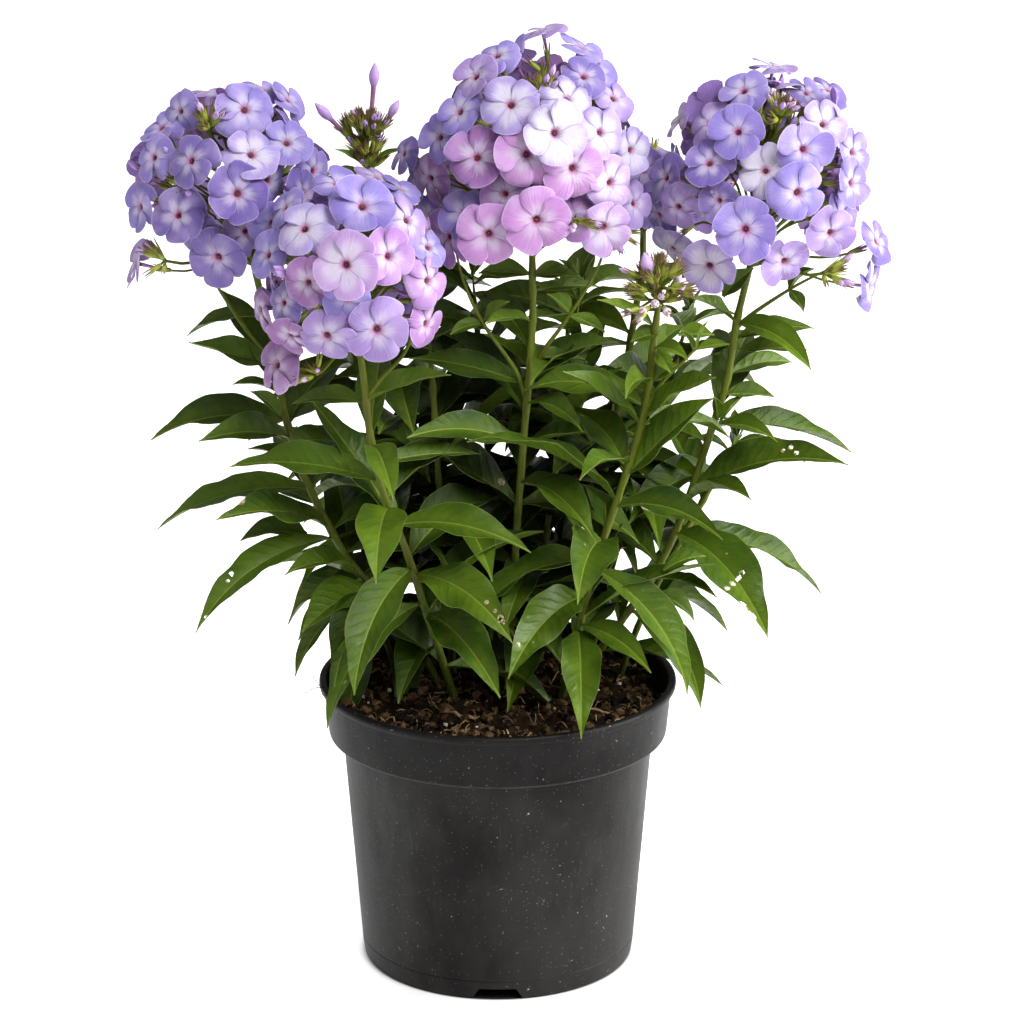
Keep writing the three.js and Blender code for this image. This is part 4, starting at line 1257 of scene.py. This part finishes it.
def add_filling_pair(build, stem, path, height, turn, source):
    for side in (0, 1):
        azimuth = turn + 180 * side + source.uniform(-16, 16)
        place = at_height(path, height)
        leaf = filling_leaf(stem, path, height, azimuth, source)
        character = leaf_character(leaf, source)
        if not has_room(stem, height, side, azimuth, place):
            continue
        if not fits_box(place, leaf):
            leaf = leaf._replace(length=leaf.length * 0.7, width=leaf.width * 0.8, droop=leaf.droop + 25)
        if not fits_box(place, leaf):
            continue
        # painted shade and light: filling leaves are drawn darker low on the plant and lighter high up
        character["light"] *= 0.30 + 0.9 * (height - FILL_LOWEST) / 240
        character["roll"] += source.uniform(0, 30) * math.cos(math.radians(azimuth))
        add_leaf(build, place + direction(azimuth, leaf.rise) * 1.4, leaf, FILLING_GRID, character)


def add_tip_leaves(build, stem, path, source):
    """The young leaves that close a shoot's end: the topmost are the shortest and steepest."""
    for k in range(TIP_LEAVES):
        height = path[-1, 2] - 1.5 - 2.6 * k
        azimuth = 180 * k + 95 * (k // 2) + source.uniform(-12, 12)
        length = 13 + 3.4 * k + source.uniform(-2, 2)
        leaf = Leaf(stem, 0, height, azimuth, 74 - 7 * k, 24 + 6 * k, length, length * 0.30)
        place = at_height(path, height) + direction(azimuth, leaf.rise) * 0.8
        add_leaf(build, place, leaf, TIP_GRID, leaf_character(leaf, source))


def make_filling_leaves(material, paths, shoots):
    """Leaf pairs up every stem and shoot, where no listed leaf grows. Returns the pairs' heights by stem."""
    source, tip_source = random.Random(5), random.Random(8)
    heights = {}
    for stem, path in {**paths, **shoots}.items():
        build = Build()
        joints = fill_joints(stem, path[-1, 2])
        heights[stem] = [height for height, _ in joints]
        for height, turn in joints:
            add_filling_pair(build, stem, path, height, turn, source)
        if stem in shoots:
            add_tip_leaves(build, stem, path, tip_source)
        if build.count:
            build.piece(f"blades_filling_{stem}", material, "leaf_green")
    return heights


# ------------------------------------------------------------------ florets

FULL_RADIUS = 16.5
CORE_RADIUS = 0.95  # the throat's opening
LOBES = 5
PETAL_THICKNESS = 0.22
FINE_PETAL = 8, 10  # rows of points out along a lobe, and columns across it
COARSE_PETAL = 6, 7
FINE_VARIANTS = 8
COARSE_VARIANTS = 6
TUBE_LENGTH = 20.5
TUBE_RADII = np.array([0.85, 0.95, 0.95, 1.0, 1.1, 1.2, 1.3])
CALYX_LENGTH = 11.0
CALYX_TEETH = 5
WANDER = math.tan(math.radians(14.0))  # how far a floret's face strays from its place's own direction
FACE_OUT = np.array([1.0, 1.0, 0.6])  # florets on top of a head look outwards rather than straight up
FURLED_LENGTH = 12.5  # how much of a long bud is its swollen end
FURLED_SHARE = 0.52  # and at most this share of a short one
BUD_SHARES = np.array([0.0, 0.15, 0.30, 0.45, 0.60, 0.80, 1.0])  # places along the swollen end
BUD_SWELL = [0.50, 0.80, 0.97, 1.0, 0.88, 0.50, 0.05]  # and how thick it is there, as a share of its width
TUBE_SWELL = 0.44  # the same for the thin tube below it


def petal_lobe(source, s, t, cup):
    """The top points of one broad lobe of the corolla, which lies along +X and is flat at its end. s runs out
    along the lobe and t across it."""
    s, t = s[:, None], t[None, :]
    reach = FULL_RADIUS * source.uniform(0.90, 1.04)
    notch, flat = source.uniform(0.15, 0.25), source.uniform(0.03, 0.12)
    dent, skew = source.uniform(-0.5, 0.6), source.uniform(-0.05, 0.05)
    closed, opened = math.radians(37), math.radians(36 * source.uniform(1.20, 1.38))
    angle = t * (closed + (opened - closed) * np.clip(s / 0.55, 0, 1)) * (1 - 0.14 * s ** 8)
    ridge = np.exp(-(t / 0.2) ** 2)
    edge = reach * (1 + skew * t + flat * t ** 2 - (flat + notch) * np.abs(t) ** 4.5) - dent * ridge
    radius = CORE_RADIUS + (edge - CORE_RADIUS) * s
    lean, crown = source.uniform(0.12, 0.25), source.uniform(0.3, 1.8)
    pitch, droop = source.uniform(-0.17, 0.14), source.uniform(0.3, 2.9)
    ripple = source.uniform(0.4, 0.9) * np.sin(2.6 * t + source.uniform(0, 6.28))
    height = (cup * (radius / FULL_RADIUS) ** 2 + pitch * radius * s - droop * s ** 4
              + lean * radius * np.sin(angle) * np.clip(s * 1.7, 0, 1)
              - crown * t ** 2 * s ** 1.5 - 0.45 * ridge * s * (1.1 - s)
              + ripple * s ** 2 * np.abs(t) - 2.4 * np.clip(1 - s / 0.13, 0, 1) ** 2)
    return np.stack([radius * np.cos(angle), radius * np.sin(angle), height], axis=2)


def petal_variant(source, rows, columns):
    """One corolla of five overlapping lobes at full size: shells with their shape values."""
    s, t = np.linspace(0, 1, rows) ** 0.9, crowded(columns)
    core_share = CORE_RADIUS / FULL_RADIUS
    shape = np.stack([np.tile(np.repeat(core_share + (1 - core_share) * s, columns), 2), np.tile(t, 2 * rows),
                      np.repeat([0.0, 1.0], rows * columns)], axis=1)
    whole = np.ones((rows - 1, columns - 1), bool)
    lobes = []
    cup = source.uniform(-1.2, 2.6)
    for lobe in range(LOBES):
        top = petal_lobe(source, s, t, cup)
        points, faces, _ = shell(top, top - [0, 0, PETAL_THICKNESS], whole)
        lobes.append((about_z(points, FULL_TURN * lobe / LOBES + source.uniform(-0.05, 0.05)), faces, shape))
    return lobes


def throat_anthers(source):
    """Three small anthers down the corolla's throat."""
    anthers = []
    for k in range(3):
        angle = 2.1 * k + source.uniform(0, 1)
        ball, faces = turned([(0, -0.3), (0.22, -0.1), (0.2, 0.15), (0, 0.35)], 6)
        anthers.append((ball + [0.5 * math.cos(angle), 0.5 * math.sin(angle), -0.9 - 0.25 * k], faces))
    return anthers


def calyx_shape(flare):
    """A ribbed cup with five long pointed teeth, its base at the origin and opening along +Z. With no flare
    the teeth close to a point. Also returns how far up every point is."""
    sides = CALYX_TEETH * 2
    angles = np.linspace(0, FULL_TURN, sides, endpoint=False)
    tooth = np.clip(np.cos(angles * CALYX_TEETH), 0, 1)
    rib = 1 + 0.08 * np.cos(angles * CALYX_TEETH)
    mouth = 1.25 + 0.20 * flare
    rings = [(rib * 0.5, 0.0), (rib * 1.15, 1.2), (rib * mouth, 4.0),
             (mouth + (0.75 + 1.9 * flare - mouth) * tooth, 4.6 + (CALYX_LENGTH - 4.6) * tooth)]
    around = np.column_stack([np.cos(angles), np.sin(angles)])
    outer = np.array([np.column_stack([around * radius[:, None], np.full(sides, height)])
                      for radius, height in rings])
    inner = outer[:-3:-1] * [0.84, 0.84, 1.0] + [0, 0, 0.1]
    points = np.vstack([*outer, *inner])
    grade = np.clip(points[:, 2] / CALYX_LENGTH, 0, 1)
    return points, loft_faces(len(outer) + len(inner), sides), grade


class HeadBuild:
    """The meshes of one flower head or bud cluster, filled floret by floret."""

    def __init__(self, source):
        self.source = source
        self.petals, self.tubes, self.calyces = Build(), Build(), Build()
        self.stalks, self.anthers, self.buds = Build(), Build(), Build()

    def floret(self, variants, place, normal, radius, tone, root):
        """An open floret: its petals, anthers, tube, calyx and stalk."""
        source = self.source
        scale = radius / FULL_RADIUS
        turn = source.uniform(0, 6.28)
        outer = np.array(TONES[tone]) * source.uniform(0.9, 1.08) + source.uniform(-0.015, 0.015)
        pale = PALENESS.get(tone, 0.0) + source.uniform(-0.1, 0.15)
        kind = [source.uniform(0, 50), pale, 0]
        for points, faces, shape in source.choice(variants):
            points = place + turn_to(points * scale, normal, turn)
            self.petals.add(points, faces, shape=shape, tone=outer, kind=kind)
        for points, faces in throat_anthers(source):
            self.anthers.add(place + turn_to(points, normal, turn), faces, grade=[source.random(), 0, 0])
        base = place - normal * (TUBE_LENGTH * scale)
        sway = unit(normal + 0.35 * unit(place - root))
        count = len(TUBE_RADII)
        neck = bend_between(base, sway, place - normal * 1.7, normal, count)
        self.tubes.add_tube(neck, TUBE_RADII * max(scale, 0.75), 8, np.linspace(0, 1, count), source.random())
        self.calyx_and_stalk(base, sway, root)

    def calyx_and_stalk(self, base, way, root, flare=0.7):
        """A calyx that holds a floret or a bud by its base, and the stalk that carries it."""
        points, faces, grade = calyx_shape(flare)
        seed = self.source.random()
        foot = base - way * 2.2
        points = foot + turn_to(points, way, self.source.uniform(0, 6))
        self.calyces.add(points, faces, grade=graded(grade, seed))
        path = bend_between(root, unit(UP * 0.6 + unit(foot - root)), foot + way * 0.3, way, 8)
        add_stalk(self.stalks, path, 0.85, 0.6, 6, seed)

    def bud(self, base, way, length, width, root, pale=0.0):
        """A calyx with an unopened corolla: a thin tube that swells to a furled point."""
        furled = min(FURLED_SHARE, FURLED_LENGTH / length)
        share = np.array([0.0, 0.35 * (1 - furled), 0.7 * (1 - furled), *(1 - furled * (1 - BUD_SHARES))])
        radii = width * np.array([TUBE_SWELL] * 3 + BUD_SWELL)
        bow = np.outer(np.sin(share * math.pi) * 0.4, unit(np.cross(way, UP + 0.1)))
        grade = np.interp(share, [0, 1 - furled, 1], [0, 0.5, 1])
        path = base + np.outer(share * length, way) + bow
        self.buds.add_tube(path, radii, 10, grade, self.source.random(), pale)
        self.calyx_and_stalk(base + way * 1.5, way, root, 0.55)

    def tuft(self, centre, way, count, root):
        """A bunch of calyces that spread from a side stalk, every third with a small bud."""
        source = self.source
        path = bend_between(root, unit(UP + unit(centre - root)), centre, way, 8)
        add_stalk(self.stalks, path, 1.1, 0.8, 8, 0.5)
        for i in range(count):
            fan = unit(way + 0.85 * jitter(source))
            base = centre + fan * source.uniform(3.5, 7.0)
            if i % 3:
                self.calyx_and_stalk(base, fan, centre, source.uniform(0.1, 0.7))
            else:
                length, width, pale = source.uniform(9, 13), source.uniform(1.3, 2.0), source.uniform(0, 0.6)
                self.bud(base, fan, length, width, centre, pale)

    def pieces(self, name, materials, node):
        parts = [("florets", self.petals, "petal", "petal"), ("tubes", self.tubes, "tube", "petal"),
                 ("calyces", self.calyces, "calyx", "bud"), ("stalks", self.stalks, "stem", "stem_green"),
                 ("anthers", self.anthers, "anther", "petal"), ("buds", self.buds, "bud", "bud")]
        for label, build, material, slot_name in parts:
            if build.count:
                build.piece(f"{label}_{name}", materials[material], slot_name, [node])


def dome_place(head, way):
    """The point of a head's dome in a direction from its middle, and the dome's normal there."""
    offset = way / math.sqrt(sum((way / head.radii) ** 2))
    return head.middle + offset, unit(offset / head.radii ** 2)


def view_turn(turn_x, turn_y):
    """The direction towards the camera, turned right and up by angles in degrees."""
    right, up, forward = view_axes()
    x, y = math.radians(turn_x), math.radians(turn_y)
    return right * math.sin(x) * math.cos(y) + up * math.sin(y) - forward * math.cos(x) * math.cos(y)


def seen_place(head, bloom, source):
    """Where a bloom sits and faces: on the dome's near side, at its place in the camera's view."""
    right, up, forward = view_axes()
    start = right * bloom.across + up * bloom.up
    a = sum((forward / head.radii) ** 2)
    b = 2 * sum(start * forward / head.radii ** 2)
    c = sum((start / head.radii) ** 2) - 1
    inside = b * b - 4 * a * c
    depth = (-b - math.sqrt(inside)) / (2 * a) if inside > 0 else -b / (2 * a)
    offset = start + forward * depth
    facing = unit(unit(offset / head.radii ** 2) - 0.45 * forward)
    if bloom.turn_x or bloom.turn_y:
        facing = view_turn(bloom.turn_x, bloom.turn_y)
    facing = unit(facing + right * source.uniform(-WANDER, WANDER) + up * source.uniform(-WANDER, WANDER))
    return head.middle + offset - forward * bloom.lift, facing


TUFT_ROOM = 13.0  # the radius round a tuft that the further florets leave free
COVER_FLORETS = 110  # how many places a dome of 50 mm radius has for further florets
COVER_RADII = 12.5, 15.5
COVER_TONES = ["blue", "blue", "lavender", "violet", "mauve"]
CLOSEST = 0.62  # how near two florets may be, as a share of both their radii
INNER_BUDS = 32
FAN_CALYCES = 5


def make_head(name, head, path, materials):
    """A head's tufts and listed blooms, then the further florets that fill its dome, and buds inside it."""
    source = random.Random(name)
    fine = [petal_variant(source, *FINE_PETAL) for _ in range(FINE_VARIANTS)]
    coarse = [petal_variant(source, *COARSE_PETAL) for _ in range(COARSE_VARIANTS)]
    build = HeadBuild(source)
    middle, foot, step = head.middle, path[-1], path[-1] - path[-2]
    top = middle + UP * head.radii[2] * 0.72
    axis = bend_between(foot - step, unit(step), top, UP, 24)
    add_stalk(build.stalks, axis, STEM_RADIUS * 0.9, 1.1, 12, 0.5)

    def root_for(place):
        """Where on the head's stalk a floret's own stalk starts."""
        spread = np.hypot(*(place - middle)[:2])
        return at_height(axis, np.clip(place[2] - 12 - 0.55 * spread, foot[2] + 3, top[2] - 4))

    taken = []
    for across, up, turn_x, turn_y, count, depth in head.tufts:
        place, _ = seen_place(head, Bloom(across, up, 0, ""), source)
        centre = middle + (place - middle) * depth
        build.tuft(centre, unit(view_turn(turn_x, turn_y) + 0.3 * UP), count, root_for(centre))
        taken.append((place, TUFT_ROOM))
    for bloom in head.blooms:
        place, facing = seen_place(head, bloom, source)
        build.floret(fine, place, facing, bloom.radius, bloom.tone, root_for(place))
        taken.append((place, bloom.radius))
    count = int(head.cover * COVER_FLORETS * head.size)
    for i in range(count):
        height = 1 - 1.5 * (i + 0.5) / count
        ring = math.sqrt(1 - height * height)
        way = np.array([ring * math.cos(i * GOLDEN_ANGLE), ring * math.sin(i * GOLDEN_ANGLE), height])
        place, normal = dome_place(head, way)
        place = place - normal * source.uniform(0.0, 8.0)
        radius = source.uniform(*COVER_RADII)
        if any(np.linalg.norm(place - other) < CLOSEST * (radius + size) for other, size in taken):
            continue
        facing = unit(normal * FACE_OUT + jitter(source, 0.38))
        variants = coarse if place[1] > middle[1] + 5 else fine
        build.floret(variants, place, facing, radius, source.choice(COVER_TONES), root_for(place))
        taken.append((place, radius))
    for i in range(int(INNER_BUDS * head.size)):
        place, normal = dome_place(head, direction(source.uniform(0, 360), source.uniform(-25, 85)))
        inner = middle + (place - middle) * source.uniform(0.60, 0.80)
        out = unit(normal + UP * 0.4)
        if i % 2:
            build.calyx_and_stalk(inner, out, root_for(inner))
        else:
            build.bud(inner, out, source.uniform(10, 17), source.uniform(1.2, 1.9), root_for(inner))
    build.pieces(name, materials, f"flower_head_{name}")


def make_bud_cluster(name, cluster, path, materials):
    """A shoot that hasn't opened: short branches that each end in a fan of spiky calyces, and some buds."""
    source = random.Random(name + "buds")
    build = HeadBuild(source)
    foot = path[-1]
    tangent = unit(path[-1] - path[-3])
    tip = foot + tangent * cluster.rise
    add_stalk(build.stalks, np.linspace(foot - tangent, tip, 6), STEM_RADIUS * 0.9, 1.1, 10, 1.0, 0.8)
    turn = 0.0
    for height, count, reach, first, last in cluster.tiers:
        root = foot + (tip - foot) * height
        for i in range(count):
            turn += math.degrees(GOLDEN_ANGLE)
            way = direction(turn, first + (last - first) * (i + 0.5) / count + source.uniform(-6, 6))
            knot = root + way * reach * source.uniform(0.75, 1.05)
            add_stalk(build.stalks, bend_between(root, unit(way + UP), knot, way, 6), 1.0, 0.8, 8, 1.0, 0.8)
            for _ in range(FAN_CALYCES):
                fan = unit(way + UP * 0.25 + 0.55 * jitter(source))
                base = knot + fan * source.uniform(1.8, 4.4)
                if source.random() < cluster.budded:
                    build.bud(base, fan, source.uniform(8, 12), source.uniform(1.4, 2.0), knot, cluster.pale)
                else:
                    build.calyx_and_stalk(base, fan, knot, source.uniform(0.0, 0.45))
    core = foot + tangent * cluster.rise * 0.6
    for azimuth, elevation, length, width, start, pale in cluster.buds:
        way = direction(azimuth, elevation)
        build.bud(core + way * start, way, length, width, core, pale)
    build.pieces(f"bud_{name}", materials, f"bud_cluster_{name}")


# ------------------------------------------------------------------ assembly

def make_plant():
    """The stems, shoots, branches, leaves, flower heads and bud clusters."""
    materials = {
        "petal": petal_material(), "tube": tube_material(), "bud": bud_material(), "calyx": calyx_material(),
        "stem": stem_material(), "leaf": leaf_material(),
        "anther": litter_material("anther", (0.26, 0.05, 0.03), (0.50, 0.20, 0.08), 0.0001),
    }
    paths = {name: spline(points, STEM_POINTS) for name, points in STEM_AXES.items()}
    shoots = {f"shoot_{name}": spline(points, SHOOT_POINTS) for name, points in SHOOTS.items()}
    filled = make_filling_leaves(materials["leaf"], paths, shoots)
    side_build = Build()
    for name, path in shoots.items():
        add_stem(side_build, path, *SHOOT_RADII, filled[name], 0.2, tip_share=0.16)
    for points in BRANCHES:
        add_stalk(side_build, spline(points, BRANCH_POINTS), 1.30, 0.55, 10, 0.5)
    side_build.piece("side_shoots", materials["stem"], "stem_green")
    for name, path in paths.items():
        build = Build()
        joints = [leaf.height for leaf in LEAVES if leaf.stem == name] + filled[name]
        add_stem(build, path, STEM_RADIUS * 1.12, STEM_RADIUS * 0.9, joints, 0.5)
        build.piece(f"stalk_{name}", materials["stem"], "stem_green", [f"stem_{name}"])
    make_leaves(materials["leaf"], paths)
    make_sprigs(materials["leaf"])
    for name, head in HEADS.items():
        make_head(name, head, paths[name], materials)
    for name, cluster in CLUSTERS.items():
        make_bud_cluster(name, cluster, paths[f"bud_{name}"], materials)


# ------------------------------------------------------------------ stage, light and camera

FLOOR_SIZE = 30.0  # this section is in metres
HORIZON_STRENGTH = 0.17
ZENITH_STRENGTH = 0.50


def make_floor():
    mesh = bpy.data.meshes.new("floor")
    half = FLOOR_SIZE / 2
    corners = [(-half, -half, 0), (half, -half, 0), (half, half, 0), (-half, half, 0)]
    mesh.from_pydata(corners, [], [(0, 1, 2, 3)])
    mesh.materials.append(floor_material())
    new_object("floor", mesh)


def make_light(name, place, target, size, power):
    light = bpy.data.lights.new(name, "AREA")
    light.shape, light.size, light.size_y, light.energy = "RECTANGLE", size[0], size[1], power
    lamp = new_object(name, light)
    lamp.location = place
    lamp.rotation_euler = Vector(np.subtract(target, place)).to_track_quat("-Z", "Y").to_euler()


def make_world():
    """A studio dome: bright overhead and dimmer towards the horizon."""
    world = bpy.data.worlds.new("studio")
    world.use_nodes = True
    tree = world.node_tree
    background = tree.nodes["Background"]
    parts = tree.nodes.new("ShaderNodeSeparateXYZ")
    height = tree.nodes.new("ShaderNodeMapRange")
    tree.links.new(tree.nodes.new("ShaderNodeTexCoord").outputs["Generated"], parts.inputs[0])
    tree.links.new(parts.outputs["Z"], height.inputs["Value"])
    height.inputs["To Min"].default_value = HORIZON_STRENGTH
    height.inputs["To Max"].default_value = ZENITH_STRENGTH
    tree.links.new(height.outputs[0], background.inputs["Strength"])
    background.inputs["Color"].default_value = (1.0, 1.0, 1.0, 1.0)
    bpy.context.scene.world = world


def make_camera():
    data = bpy.data.cameras.new("camera")
    data.lens, data.sensor_width, data.clip_end = CAMERA_LENS, SENSOR, 100.0
    camera = new_object("camera", data)
    camera.location = CAMERA_PLACE * MM
    camera.rotation_euler = (math.radians(90 - CAMERA_PITCH), 0, 0)
    bpy.context.scene.camera = camera


make_plant()
make_pot(pot_material())
make_soil(soil_material())
make_litter()
make_floor()
make_world()
make_light("key_softbox", (0.95, -1.25, 1.85), (0, 0, 0.35), (1.2, 1.2), 60.0)
make_light("left_softbox", (-1.6, 0.35, 0.6), (0, 0, 0.25), (0.5, 1.5), 1.0)
make_light("right_softbox", (1.35, -0.10, 0.42), (0, 0, 0.2), (0.5, 1.3), 29.0)
make_camera()
bpy.context.scene.view_settings.view_transform = "Standard"
